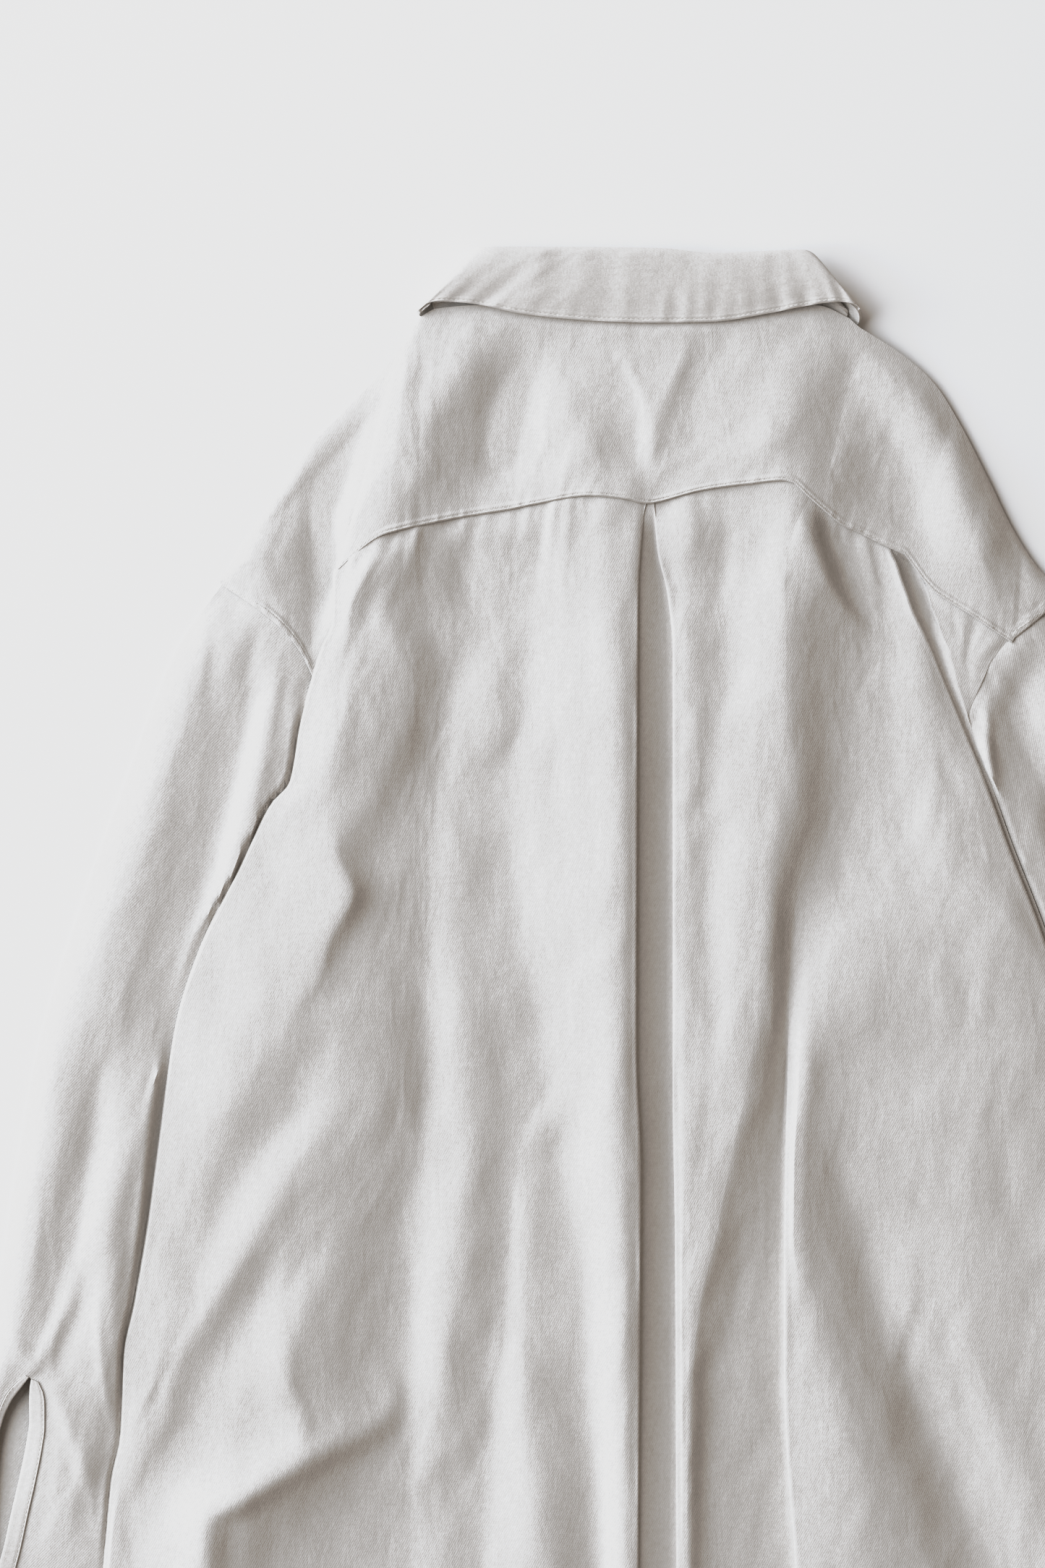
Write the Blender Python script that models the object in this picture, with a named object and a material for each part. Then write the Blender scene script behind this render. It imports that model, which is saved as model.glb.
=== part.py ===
"""A crumpled, oversized long-sleeved cotton shirt, laid face down with its back up.

Units in the tables are millimetres. +X is the wearer's right, +Y runs up to the collar, +Z away
from the table that the shirt lies on. The origin is on the table, under the centre back.
"""
import math

import bpy
import numpy as np

MM = 0.001

# Driving sizes of the garment
CLOTH = 1.3              # wall of a single panel
DOUBLED = 2.0            # wall of collar, cuffs, band and bindings
GAP = 0.35               # space that two sewn or touching pieces keep
FOOT_RUN = 2.0           # how far a steep fold face runs out sideways
SLEEVE_UNDER = 6.0       # height of a sleeve where the body lies on it
HEM_CENTRE_Y = -505.0    # lowest point of the curved hem
HEM_SIDE_Y = -446.0      # the hem at the side seams
BAND_WIDTH = 32.0
BAND_THICK = 2.8         # folded cloth with its interlining
BAND_TOP = 186.0         # where the band meets the collar stand
FIRST_BUTTON = 40.0      # from the band's top down to its first button
LAST_BUTTON = 110.0      # from its last button down to the band's end
BINDING = 1.2            # thickness of a placket's binding
CUFF_DEPTH = 62.0
BUTTON_RADIUS = 5.5
BUTTON_THICK = 1.6
BUTTON_POCKET = 0.35     # clearance round a button that the band's cloth closes on
FRONT_BUTTONS = 7
FRONT_COLS, FRONT_ROWS = 13, 19   # points of a front's grid

# Outlines of the body: y, x, height outside the edge, height of its crest
LEFT_SIDE = ((118, -174, 11.8, 13.2), (90, -174.5, 12.2, 14.4), (73, -181.5, 11.8, 14.2),
             (54, -187, 11.0, 13.6), (34, -192.5, 9.4, 13.0), (1, -198.5, 9.2, 12.6),
             (-44, -225, 9.2, 12.4), (-94, -249, 9.2, 12.4), (-133, -261, 9.2, 13.0),
             (-246, -277, 9.2, 13.0), (-363, -292, 9.2, 12.4), (-446, -302, 9.2, 11.8))
PLEAT_LEFT = ((160, -1.4, 13.6, 13.2), (137, -4.4, 17.0, 9.0), (107, -6.4, 19.0, 7.0),
              (-6, -7.2, 21.0, 6.5), (-145, -7.6, 21.0, 6.5), (-211, -5.2, 20.0, 6.5),
              (-434, -6.4, 18.0, 6.0), (-505, -6.0, 15.0, 5.5))
PLEAT_RIGHT = ((160, 1.4, 13.2, 13.6), (129, 4.0, 9.0, 16.0), (104, 9.6, 7.0, 18.0),
               (74, 12.4, 6.8, 18.0), (-175, 12.4, 6.5, 17.0), (-246, 13.6, 6.5, 17.0),
               (-434, 16.0, 6.0, 19.0), (-505, 16.5, 5.5, 16.0))
RIGHT_FOLD = ((158, 86.5, 19.0, 17.0), (94, 85, 25.0, 13.0), (34, 81, 27.0, 11.0),
              (-53, 71, 27.0, 10.0), (-151, 64, 25.0, 9.5), (-169, 52, 23.0, 10.5),
              (-205, 42, 20.0, 11.0), (-270, 30, 18.5, 15.0), (-306, 26, 18.5, 17.5),
              (-434, 24, 18.5, 17.0), (-505, 24, 15.0, 13.5))
NEXT_PANEL = ((147, 101, 14.0, 14.0), (34, 97, 10.0, 11.0), (-26, 83, 8.0, 13.0),
              (-92, 80.5, 7.0, 19.0), (-190, 73, 6.0, 21.0), (-300, 70, 5.5, 20.0),
              (-396, 72.5, 5.5, 19.0), (-434, 76.5, 5.5, 18.0), (-505, 82, 5.5, 14.0))
RIGHT_SIDE = ((124, 138, 18.0, 10.5), (100, 144, 20.0, 9.4), (76, 158, 20.0, 9.2),
              (42, 170.5, 20.0, 9.2), (1, 189, 19.0, 9.2), (-34, 201, 18.0, 9.2),
              (-82, 219, 17.0, 9.2), (-150, 240, 17.0, 9.2), (-250, 262, 17.0, 9.2),
              (-350, 280, 16.0, 9.2), (-446, 298, 14.0, 9.2))
BACK_ARMHOLE = ((79, 197.8, 9.2), (72, 190.0, 9.2), (66, 186.3, 9.2), (42, 185.6, 9.2),
                (10, 184, 9.2))
# Lines that the columns follow, so that each fold gets a crisp crest: y, then x of each line
LEFT_GUIDES = ((160, -150, -96, -74, -56, -38, -22), (92, -156, -108, -82, -60, -42, -24),
               (34, -162, -112, -84, -64, -46, -26), (-46, -166, -129, -99, -62, -46, -28),
               (-126, -184, -122, -97, -62, -50, -32), (-206, -187, -129, -99, -79, -65, -48),
               (-286, -187, -140, -105, -83, -63, -42), (-366, -188, -147, -115, -93, -61, -36),
               (-422, -200, -152, -125, -103, -54, -32), (-505, -208, -156, -132, -108, -48, -29))
RIGHT_GUIDES = ((150, 106, 118, 132), (92, 107, 120, 136), (34, 109, 124, 146), (-46, 96, 116, 148),
                (-126, 84, 104, 156), (-176, 80, 101, 160), (-223, 80, 113, 168),
                (-279, 89, 133, 182), (-321, 105, 149, 198), (-363, 130, 166, 212),
                (-422, 153, 198, 236), (-505, 168, 218, 254))

# Yoke seam: x, y, height, from the left side of the body to the right armhole
YOKE_SEAM = ((-174, 117.5, 14.0), (-153, 135, 14.5), (-138, 140.5, 14.0), (-101, 148.5, 12.5),
             (-64, 155, 14.5), (-38, 159.5, 15.0), (0, 155.5, 13.4), (28, 162.5, 15.0),
             (54, 166, 18.0), (76, 167.5, 19.0), (85, 160.5, 18.0), (105, 144, 13.5),
             (127, 133, 16.5), (138, 128.5, 17.5), (142, 126.5, 11.0), (150, 113, 10.0),
             (170, 98, 9.5), (199, 79, 9.4))
# Armhole seams, shoulder point to armpit: x, y, height
LEFT_ARMHOLE = ((-236.5, 110, 3.4), (-219, 98, 8.5), (-204, 86, 10.2), (-193, 73, 10.0),
                (-186, 59, 8.6), (-177, 33, 6.0), (-168, -6, 6.0), (-163, -98, 4.0))
RIGHT_ARMHOLE = ((229.5, 104, 3.4), (219, 95, 8.0), (209, 86.5, 9.4), (199.5, 79, 9.4),
                 (187.5, 66, 9.0), (186.5, 42, 7.5), (184.5, 10, 6.0), (163, -98, 4.0))
# Shoulder folds, collar to shoulder point: x, y, height
LEFT_SHOULDER = ((-126, 258, 8.0), (-145, 231, 5.5), (-167.5, 207, 3.8), (-186, 188, 3.4),
                 (-204, 162.5, 3.4), (-223, 137, 3.4), (-237.5, 112, 3.4))
RIGHT_SHOULDER = ((114, 253, 8.0), (138, 238, 5.5), (157, 221.5, 3.8), (171.5, 199, 3.4),
                  (186.5, 170, 3.4), (201, 140.5, 3.4), (216, 118, 3.4), (230.5, 106, 3.4))
NECKLINE = ((-121, 262, 8.0), (-95, 264, 9.5), (-60, 262, 10.0), (0, 260, 10.0), (60, 262, 10.0),
            (92, 264, 9.5), (110, 257, 8.0))

# The yoke's hidden edge under the left fold of the body, armhole to seam: x, y, height
YOKE_UNDER_BODY = ((-186, 59, 8.6), (-177, 66, 8.8), (-171, 80, 8.8), (-170, 95, 9.0),
                   (-175, 107, 9.4), (-178.2, 118, 13.2))

# Collar fall, sections round the neck from the left front edge to the right one:
# fold edge x, y, z, then outer edge x, y, z
FALL_SECTIONS = (
    (-6, 221, 0, -66, 168, 0), (-34, 244, 0, -84, 198, 0), (-62, 267, 0, -101, 228, 0),
    (-86, 286, 0, -117, 254, 0), (-95, 293, 2.5, -126, 258.5, 2.5),
    (-97.5, 295, 9, -128.5, 260, 8), (-95, 295.4, 17, -126, 262, 13),
    (-88, 295.4, 20, -118, 265.5, 15), (-70, 295.4, 20.5, -95, 264, 14),
    (-50, 295.3, 20.5, -71, 259, 13.4), (-30, 295.2, 20.5, -39, 255.6, 13.2),
    (-10, 294.9, 20.5, -8, 254.2, 13.2), (10, 294.3, 20.5, 18, 254.2, 13.2),
    (32, 292, 20.5, 41, 255, 13.4), (56, 292.6, 20.5, 65, 259, 14),
    (76, 293.6, 20.5, 88, 263.4, 15.5), (88, 292.8, 20, 105, 265.2, 17),
    (97, 284, 17, 114.5, 262.5, 16), (99.5, 281.5, 9, 117, 257.5, 9),
    (97, 280, 2.5, 115, 253, 2.5), (88, 277, 0, 108, 247, 0), (62, 260, 0, 96, 226, 0),
    (34, 240, 0, 82, 197, 0), (6, 221, 0, 66, 168, 0))
# Collar stand, the same way: top edge x, y, z, then neck edge x, y, z
STAND_SECTIONS = (
    (5, 214, 2.4, 5, 189, 2.4), (-30, 236, 2.4, -44, 195, 2.4), (-58, 258, 2.4, -84, 218, 2.4),
    (-84, 278, 2.4, -112, 251, 2.4), (-91, 286, 4.6, -117.5, 259.5, 4.0),
    (-92.5, 290, 9, -120, 265, 7.2), (-90, 292, 14.5, -117, 265.6, 10),
    (-84, 292.4, 16.8, -108, 265.6, 10.6), (-60, 292.4, 17.3, -70, 264.6, 11.2),
    (-20, 292, 17.3, -22, 262.6, 11.2), (20, 290.4, 17.3, 22, 262.6, 11.2),
    (60, 289.4, 17.3, 66, 264.6, 11.2), (80, 289, 16.8, 96, 265.6, 10.6),
    (90, 283, 14, 106, 263, 9.6), (92, 278.5, 9, 109.6, 260, 5.4),
    (90, 275, 4.6, 105, 252, 3.4), (84, 269, 2.4, 101, 243, 2.4), (58, 254, 2.4, 84, 218, 2.4),
    (34, 238, 2.4, 44, 195, 2.4), (8, 214, 2.4, 8, 189, 2.4))

# Left sleeve: outer fold from the shoulder point to the cuff, inner fold from the armpit: x, y
SLEEVE_OUTER = ((-238, 108), (-260, 77), (-272.5, 48), (-291, -2), (-314.5, -68), (-337, -142),
                (-351.5, -222), (-357.5, -264), (-372, -345), (-386, -440))
SLEEVE_INNER = ((-163, -98), (-188, -200), (-222, -310), (-266, -468))
SHOULDER_SHIFT = 7.0     # the right shoulder point lies this much nearer to the centre back
PLACKET_TOP = (-339, -325)
PLACKET_OPEN = 12.0      # how far the placket gapes

# Main folds of the back: name, left run at both ends, right run at both ends, route x, y, height
BACK_FOLDS = (
    ("main trough", (34, 30), (18, 24),
     ((-98, 148, -3), (-108, 92, -8), (-112, 34, -10), (-129, -46, -13), (-122, -126, -13),
      (-129, -206, -12), (-140, -286, -12), (-147, -366, -12), (-152, -436, -7))),
    ("crest left of the main trough", (20, 20), (18, 20),
     ((-166, 40, 3), (-164, -55, 7), (-184, -126, 8), (-187, -206, 8), (-187, -286, 9),
      (-186, -345, 9), (-198, -376, 5))),
    ("crest right of the main trough", (14, 15), (20, 15),
     ((-78, 110, 2), (-84, 34, 3), (-99, -46, 5), (-97, -126, 6), (-99, -206, 6),
      (-105, -286, 7), (-115, -366, 8), (-125, -422, 8), (-128, -480, 5))),
    ("second trough", (14, 13), (14, 13),
     ((-66, 34, -2), (-58, -46, -3), (-60, -126, -4), (-79, -206, -5), (-83, -286, -6),
      (-93, -366, -7), (-103, -422, -6))),
    ("narrow crest", (11, 10), (11, 10),
     ((-60, -160, 1), (-65, -206, 3), (-63, -286, 6), (-61, -366, 7), (-54, -422, 7),
      (-50, -480, 5))),
    ("trough beside the pleat", (14, 13), (10, 9),
     ((-52, -215, -2), (-42, -286, -6), (-36, -366, -8), (-32, -422, -8), (-30, -490, -5))),
    ("side roll", (14, 14), (22, 24),
     ((-232, -150, 2), (-252, -206, 5), (-262, -286, 6), (-280, -366, 4))),
    ("side trough", (18, 18), (14, 18),
     ((-216, -170, -3), (-216, -220, -6), (-218, -286, -8), (-238, -350, -6))),
    ("lower side roll", (18, 20), (18, 16),
     ((-246, -408, 4), (-252, -430, 6), (-250, -470, 5))),
    ("hook fold", (8, 10), (12, 22),
     ((-144, -322, 3), (-147, -344, 6), (-180, -364, 8), (-210, -382, 9), (-236, -394, 6))),
    ("pocket under the hook", (20, 22), (24, 24),
     ((-184, -394, -8), (-206, -420, -12), (-214, -462, -8))),
    ("pocket beside the right fold", (12, 14), (14, 16),
     ((98, 128, -4), (102, 100, -6), (99, 60, -5), (95, 10, -3))),
    ("right panel rise", (26, 26), (26, 30),
     ((134, 100, 5), (146, 40, 6), (140, -30, 5), (160, -120, 3))),
    ("right dark trough", (22, 28), (14, 22),
     ((98, -176, -6), (113, -223, -11), (133, -279, -14), (149, -321, -15), (166, -363, -15),
      (198, -422, -13), (214, -490, -9))),
    ("crest left of the dark trough", (10, 12), (9, 11),
     ((80, -235, 1), (90, -285, 4), (106, -324, 7), (131, -366, 8), (153, -422, 8),
      (164, -480, 5))),
    ("right side roll", (26, 28), (26, 28),
     ((180, -120, 3), (196, -220, 5), (226, -330, 5), (250, -430, 3))),
    ("right outer trough", (18, 20), (18, 20),
     ((200, -60, -3), (226, -170, -5), (250, -280, -5), (268, -380, -4))),
)
YOKE_FOLDS = (
    ("left shoulder crease", (16, 22), (26, 28),
     ((-76, 250, -2), (-94, 205, -7), (-112, 150, -8))),
    ("left shoulder roll", (18, 16), (22, 20),
     ((-120, 232, 2), (-143, 192, 6), (-152, 160, 5), (-160, 138, 3))),
    ("left armhole trough", (14, 14), (12, 10),
     ((-176, 170, -2), (-184, 130, -4), (-184, 100, -3))),
    ("centre hollow", (16, 14), (12, 10), ((-14, 212, -2), (-10, 185, -4), (-6, 163, -3))),
    ("right of the centre", (12, 14), (30, 30), ((14, 215, 2), (26, 180, 5))),
    ("right shoulder crease", (20, 24), (14, 18),
     ((92, 240, -3), (100, 205, -8), (104, 168, -9))),
    ("right shoulder roll", (18, 18), (20, 18),
     ((120, 236, 4), (136, 190, 7), (146, 140, 5))),
)
# Folds of a sleeve, given for the left one
SLEEVE_FOLDS = (
    ("shoulder trough", (12, 14), (14, 12), ((-222, 88, -1), (-250, 34, -4), (-268, -40, -3))),
    ("inner roll", (12, 14), (10, 10), ((-206, 70, 1), (-212, 20, 3), (-236, -40, 1))),
    ("long roll", (22, 20), (14, 12),
     ((-272, 10, 2), (-296, -80, 4), (-306, -160, 5), (-338, -230, 4), (-350, -290, 2))),
    ("elbow trough", (12, 10), (12, 10), ((-300, -150, -1), (-318, -210, -4), (-332, -290, -3))),
    ("lower roll", (14, 12), (12, 12), ((-290, -190, 2), (-296, -250, 5), (-312, -330, 4))),
)

# Finishes, as on the photographed cloth
ECRU_TWILL = ("ecru cotton twill", (0.74, 0.73, 0.70, 1.0), 0.92, 0.0)
ECRU_SHADE = ("ecru twill, doubled", (0.71, 0.70, 0.67, 1.0), 0.90, 0.0)
SHELL = ("pale shell button", (0.78, 0.75, 0.68, 1.0), 0.35, 0.0)


def finish(kind):
    """The Principled material of one finish, made once."""
    name, colour, roughness, metallic = kind
    material = bpy.data.materials.get(name)
    if material is None:
        material = bpy.data.materials.new(name)
        material.use_nodes = True
        shader = material.node_tree.nodes["Principled BSDF"]
        shader.inputs["Base Color"].default_value = colour
        shader.inputs["Roughness"].default_value = roughness
        shader.inputs["Metallic"].default_value = metallic
        material.diffuse_color = colour
    return material


def make_object(name, points, faces, kind):
    """One named object from points in millimetres and a list of faces."""
    mesh = bpy.data.meshes.new(name)
    mesh.from_pydata([tuple(p) for p in np.asarray(points) * MM], [], faces)
    mesh.validate()
    mesh.materials.append(finish(kind))
    mesh.shade_smooth()
    mesh.set_sharp_from_angle(angle=math.radians(50))
    piece = bpy.data.objects.new(name, mesh)
    bpy.context.collection.objects.link(piece)
    return piece


def ease(t):
    """A soft step from 0 to 1."""
    t = np.clip(t, 0.0, 1.0)
    return t * t * (3.0 - 2.0 * t)


def curve(points, spaces):
    """Points spread evenly by length along a smooth curve through a short route."""
    route = np.asarray(points, float)
    ends = np.vstack((2 * route[0] - route[1], route, 2 * route[-1] - route[-2]))
    dense = []
    for i in range(1, len(ends) - 2):
        a, b, c, d = ends[i - 1:i + 3]
        for t in np.linspace(0.0, 1.0, 12, endpoint=False):
            dense.append(0.5 * (2 * b + (c - a) * t + (2 * a - 5 * b + 4 * c - d) * t ** 2
                                + (3 * b - a - 3 * c + d) * t ** 3))
    dense = np.array(dense + [route[-1]])
    run = np.concatenate(([0], np.cumsum(np.linalg.norm(np.diff(dense[:, :2], axis=0), axis=1))))
    wanted = np.linspace(0.0, run[-1], spaces + 1) if np.isscalar(spaces) else spaces * run[-1]
    return np.column_stack([np.interp(wanted, run, dense[:, k]) for k in range(dense.shape[1])])


def column(rows, y, k):
    """Column k of an edge table at heights y, whose rows run down the garment."""
    table = np.asarray(rows, float)[::-1]
    return np.interp(y, table[:, 0], table[:, k])


def fold_heights(x, y, folds):
    """The sum of all the soft ridges and troughs at places x, y."""
    total = np.zeros_like(x)
    for _, left_run, right_run, route in folds:
        line = curve(route, 6 * (len(route) - 1))
        best = np.full(x.shape, np.inf)
        side = np.zeros_like(x)
        where = np.zeros_like(x)
        count = len(line) - 1
        for i in range(count):
            (ax, ay), (bx, by) = line[i, :2], line[i + 1, :2]
            dx, dy = bx - ax, by - ay
            t = np.clip(((x - ax) * dx + (y - ay) * dy) / (dx * dx + dy * dy), 0.0, 1.0)
            px, py = x - ax - t * dx, y - ay - t * dy
            gap = np.hypot(px, py)
            near = gap < best
            best = np.where(near, gap, best)
            side = np.where(near, px * dy - py * dx, side)
            where = np.where(near, (i + t) / count, where)
        left = left_run[0] + (left_run[1] - left_run[0]) * where
        right = right_run[0] + (right_run[1] - right_run[0]) * where
        # A route runs down the garment, so a point on its right has a negative cross product
        run = np.where(side < 0, right, left)
        height = np.interp(where, np.linspace(0, 1, count + 1), line[:, 2])
        total += height * np.exp(-(best / run) ** 2)
    return total


def strip_quads(rows, cols, closed=False):
    """Quads of a grid of points, numbered row by row, facing +Z where x rises with the column."""
    quads = []
    for i in range(rows - 1):
        for j in range(cols if closed else cols - 1):
            k = (j + 1) % cols
            quads.append((i * cols + j, (i + 1) * cols + j, (i + 1) * cols + k, i * cols + k))
    return quads


def vertex_normals(points, quads):
    """Unit normals at the points, from the quads round each."""
    normals = np.zeros_like(points)
    for a, b, c, d in quads:
        face = np.cross(points[c] - points[a], points[d] - points[b])
        size = np.linalg.norm(face)
        for k in (a, b, c, d):
            normals[k] += face / max(size, 1e-9) * math.sqrt(size)
    return normals / np.maximum(np.linalg.norm(normals, axis=1), 1e-9)[:, None]


def cloth_wall(name, points, quads, kind, thick=CLOTH, inner=None, plumb=()):
    """A closed wall: the outer quads, the same moved inwards, and rims round every open edge.

    The points numbered in plumb move straight down, so that seams stay clear of each other.
    """
    points = np.asarray(points, float)
    if inner is None:
        inner = points - vertex_normals(points, quads) * thick
        for k in plumb:
            inner[k] = points[k] - (0, 0, thick)
    count = len(points)
    faces = []
    edges = {}
    for a, b, c, d in quads:
        if np.linalg.norm(points[a] - points[c]) <= np.linalg.norm(points[b] - points[d]):
            pair = ((a, b, c), (a, c, d))
        else:
            pair = ((a, b, d), (b, c, d))
        for face in pair:
            faces.append(face)
            faces.append(tuple(k + count for k in reversed(face)))
        for edge in ((a, b), (b, c), (c, d), (d, a)):
            edges[edge] = True
    for a, b in edges:
        if (b, a) not in edges:
            faces.append((b, a, a + count))
            faces.append((b, a + count, b + count))
    return make_object(name, np.vstack((points, inner)), faces, kind)


def spread(first, last, count, ends_closer=0.35):
    """Numbers between two ends, closer together near both."""
    t = np.linspace(0.0, 1.0, count)
    return first + (last - first) * (t - ends_closer * np.sin(2 * math.pi * t) / (2 * math.pi))


def hem_y(x):
    """Height of the curved shirt-tail hem at x."""
    t = np.clip(np.abs(x) / 300.0, 0.0, 1.0)
    return HEM_CENTRE_Y + (HEM_SIDE_Y - HEM_CENTRE_Y) * ease((t - 0.25) / 0.75)


def seam_line():
    """The yoke seam as a dense line."""
    return curve(YOKE_SEAM, 120)


def between(first, last, count):
    """Guide positions of the columns from one guide line up to, not including, another."""
    return list(np.linspace(first, last, count, endpoint=False))


def back_columns():
    """The back's columns: the strip between two edges, and the place between its guide lines."""
    columns = [("left foot", 0, 0.0)]
    columns += [("panel", 0, t) for t in between(0, 1, 5) + between(1, 2, 3) + between(2, 7, 10)]
    columns += [("panel", 0, 7.0)]
    columns += [("panel", 1, t) for t in (0.14, 0.5, 0.86)]
    columns += [("panel", 2, t) for t in spread(0, 1, 6)]
    columns += [("panel", 3, t) for t in (0.22, 0.55, 0.85)]
    columns += [("panel", 4, t) for t in between(0, 3, 6) + between(3, 4, 3) + [4.0]]
    columns += [("panel", 5, t) for t in (0.12, 0.5, 1.0)]
    return columns


def back_edges(y):
    """Every fold edge at height y: place, height on its left, height on its right."""
    edges = []
    for rows in (LEFT_SIDE, PLEAT_LEFT, PLEAT_RIGHT, RIGHT_FOLD, NEXT_PANEL, RIGHT_SIDE):
        edges.append([column(rows, y, k) for k in (1, 2, 3)])
    armhole_x = column(BACK_ARMHOLE, y, 1)
    side_x = edges[5][0] + 7.0
    outer_x = np.where(y > 10.0, np.maximum(armhole_x - GAP, side_x), side_x)
    edges.append([outer_x, column(BACK_ARMHOLE, y, 2), column(BACK_ARMHOLE, y, 2)])
    return edges


def back_place(kind, strip, t, y):
    """Place and base height of a column at height y."""
    edges = back_edges(y)
    if kind == "left foot":
        return edges[0][0] - FOOT_RUN, edges[0][1]
    (ax, _, az), (bx, bz, _) = edges[strip], edges[strip + 1]
    guides = {0: LEFT_GUIDES, 4: RIGHT_GUIDES}.get(strip)
    if guides is None:
        return ax + (bx - ax) * t, az + (bz - az) * t
    lines = [ax] + [column(guides, y, k) for k in range(1, len(guides[0]))] + [bx]
    first = min(int(t), len(lines) - 2)
    x = lines[first] + (lines[first + 1] - lines[first]) * (t - first)
    return x, az + (bz - az) * (x - ax) / (bx - ax)


def back_surface(rows=30):
    """Outer points of the back panel, from the yoke seam to the hem."""
    seam = seam_line()
    columns = back_columns()
    grid = np.zeros((rows, len(columns), 3))
    for j, (kind, strip, t) in enumerate(columns):
        y_top = 150.0
        for _ in range(12):
            x_top, _ = back_place(kind, strip, t, y_top)
            y_top = float(np.interp(x_top, seam[:, 0], seam[:, 1])) - GAP
        x_low, _ = back_place(kind, strip, t, HEM_SIDE_Y)
        y_low = float(hem_y(x_low))
        y = y_top + (y_low - y_top) * spread(0, 1, rows, 0.2)
        x, z = back_place(kind, strip, t, y)
        grid[:, j] = np.column_stack((np.broadcast_to(x, y.shape), y, z))
    x, y = grid[..., 0], grid[..., 1]
    seam_y = np.interp(x, seam[:, 0], seam[:, 1])
    seam_z = np.interp(x, seam[:, 0], seam[:, 2])
    fade = ease((seam_y - y) / 60.0)
    keep = np.array([0.0 if c[0] == "left foot" or c[1] in (1, 5) else 1.0 for c in columns])
    keep[1] = 0.35
    grid[..., 2] += fold_heights(x, y, BACK_FOLDS) * keep * fade
    near_seam = 1.0 - ease((seam_y - y) / 22.0)
    grid[..., 2] += (seam_z - grid[..., 2]) * near_seam
    grid[..., 2] = np.maximum(grid[..., 2], back_floor(x, y))
    return grid


def near_side(y, side):
    """Where a sleeve ends under the body at height y: its armhole, then its inner fold."""
    armhole = LEFT_ARMHOLE if side < 0 else RIGHT_ARMHOLE
    inner = [(x if side < 0 else -x - SHOULDER_SHIFT, y0) for x, y0 in SLEEVE_INNER[1:]]
    rows = sorted([(row[1], row[0]) for row in armhole] + [(y0, x) for x, y0 in inner])
    return np.interp(y, [row[0] for row in rows], [row[1] for row in rows])


def over_sleeve(x, y):
    """1 where the body lies on a sleeve, 0 where its front lies on the table."""
    left = ease((near_side(y, -1) + 30.0 - x) / 22.0)
    right = ease((x - near_side(y, 1) + 30.0) / 22.0)
    return np.maximum(left, right) * ease((40.0 - y) / 38.0)


def front_low(x, y):
    """Height of the fronts' underside: up over the sleeves and over the collar's points."""
    sleeve = (SLEEVE_UNDER + 1.0) * over_sleeve(x, y)
    collar = (DOUBLED + 0.4) * ease((y - 120.0) / 26.0) * ease((142.0 - np.abs(x)) / 14.0)
    return np.maximum(sleeve, collar)


def back_floor(x, y):
    """Lowest outer height of the back that clears the front under it."""
    over_band = (BAND_THICK + 0.4) * ease((40.0 - np.abs(x)) / 16.0)
    return np.maximum(front_low(x, y), over_band) + 2 * CLOTH + 0.7


def join_curves(*parts):
    """Curves laid end to end, with the shared points kept once."""
    return np.vstack([parts[0]] + [part[1:] for part in parts[1:]])


def yoke_edges(back_top):
    """The yoke's lower edge, and the upper edge's point for each of its points."""
    armhole = curve(LEFT_ARMHOLE[:5], 6)
    hidden = curve(YOKE_UNDER_BODY, 5)
    seam = back_top[1:] + (0.0, GAP, 0.0)
    seam[0] += (-0.5, 0.6, 0.0)
    right = curve(RIGHT_ARMHOLE[:4], 4)[::-1]
    lower = join_curves(armhole, hidden, np.vstack((hidden[-1], seam)), right)
    upper = join_curves(curve(LEFT_SHOULDER, 40)[::-1], curve(NECKLINE, 40),
                        curve(RIGHT_SHOULDER, 40))
    marks = [0, 6, 11, None, None, None, len(lower) - 5, len(lower) - 1]
    for place, x in ((3, -100.0), (4, 82.0), (5, 142.0)):
        marks[place] = 11 + int(np.argmin(np.abs(lower[11:-5, 0] - x)))
    shares = [0, 13, 24, 41, 80, 96, 112, len(upper) - 1]
    where = np.interp(np.arange(len(lower)), marks, shares)
    index = np.arange(len(upper))
    upper = np.column_stack([np.interp(where, index, upper[:, k]) for k in range(3)])
    return lower, upper


def yoke_surface(back_top):
    """Outer points of the yoke, from the seam up to the neck and the shoulder folds."""
    lower, upper = yoke_edges(back_top)
    lower[0] += (0.6, -0.6, 0.0)
    lower[-1] += (-0.6, -0.6, 0.0)
    upper[0] += (0.0, 0.8, 0.0)
    upper[-1] += (0.0, 0.8, 0.0)
    steps = np.array([0.0, 0.1, 0.24, 0.42, 0.6, 0.76, 0.89, 0.97, 1.0])
    plan = lower[None] + (upper - lower)[None] * steps[:, None, None]
    drop = ((8.0 - upper[:, 2]) / 4.6).clip(0, 1)
    power = 1.2 + 3.0 * drop
    rise = 1.0 - steps[:, None] ** power[None]
    plan[..., 2] = upper[:, 2] + (lower[:, 2] - upper[:, 2]) * rise
    length = np.linalg.norm(upper[:, :2] - lower[:, :2], axis=1)
    crown = 3.0 * drop * np.minimum(length / 60.0, 1.0)
    plan[..., 2] += crown * np.sin(math.pi * steps[:, None] ** 1.6) ** 0.8
    window = ease(steps / 0.25) * ease((1.0 - steps) / 0.2)
    plan[..., 2] += fold_heights(plan[..., 0], plan[..., 1], YOKE_FOLDS) * window[:, None]
    clear = back_floor(plan[..., 0], plan[..., 1]) + 0.6
    plan[2:-2, :, 2] = np.maximum(plan, clear[..., None])[2:-2, :, 2]
    return plan


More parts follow.
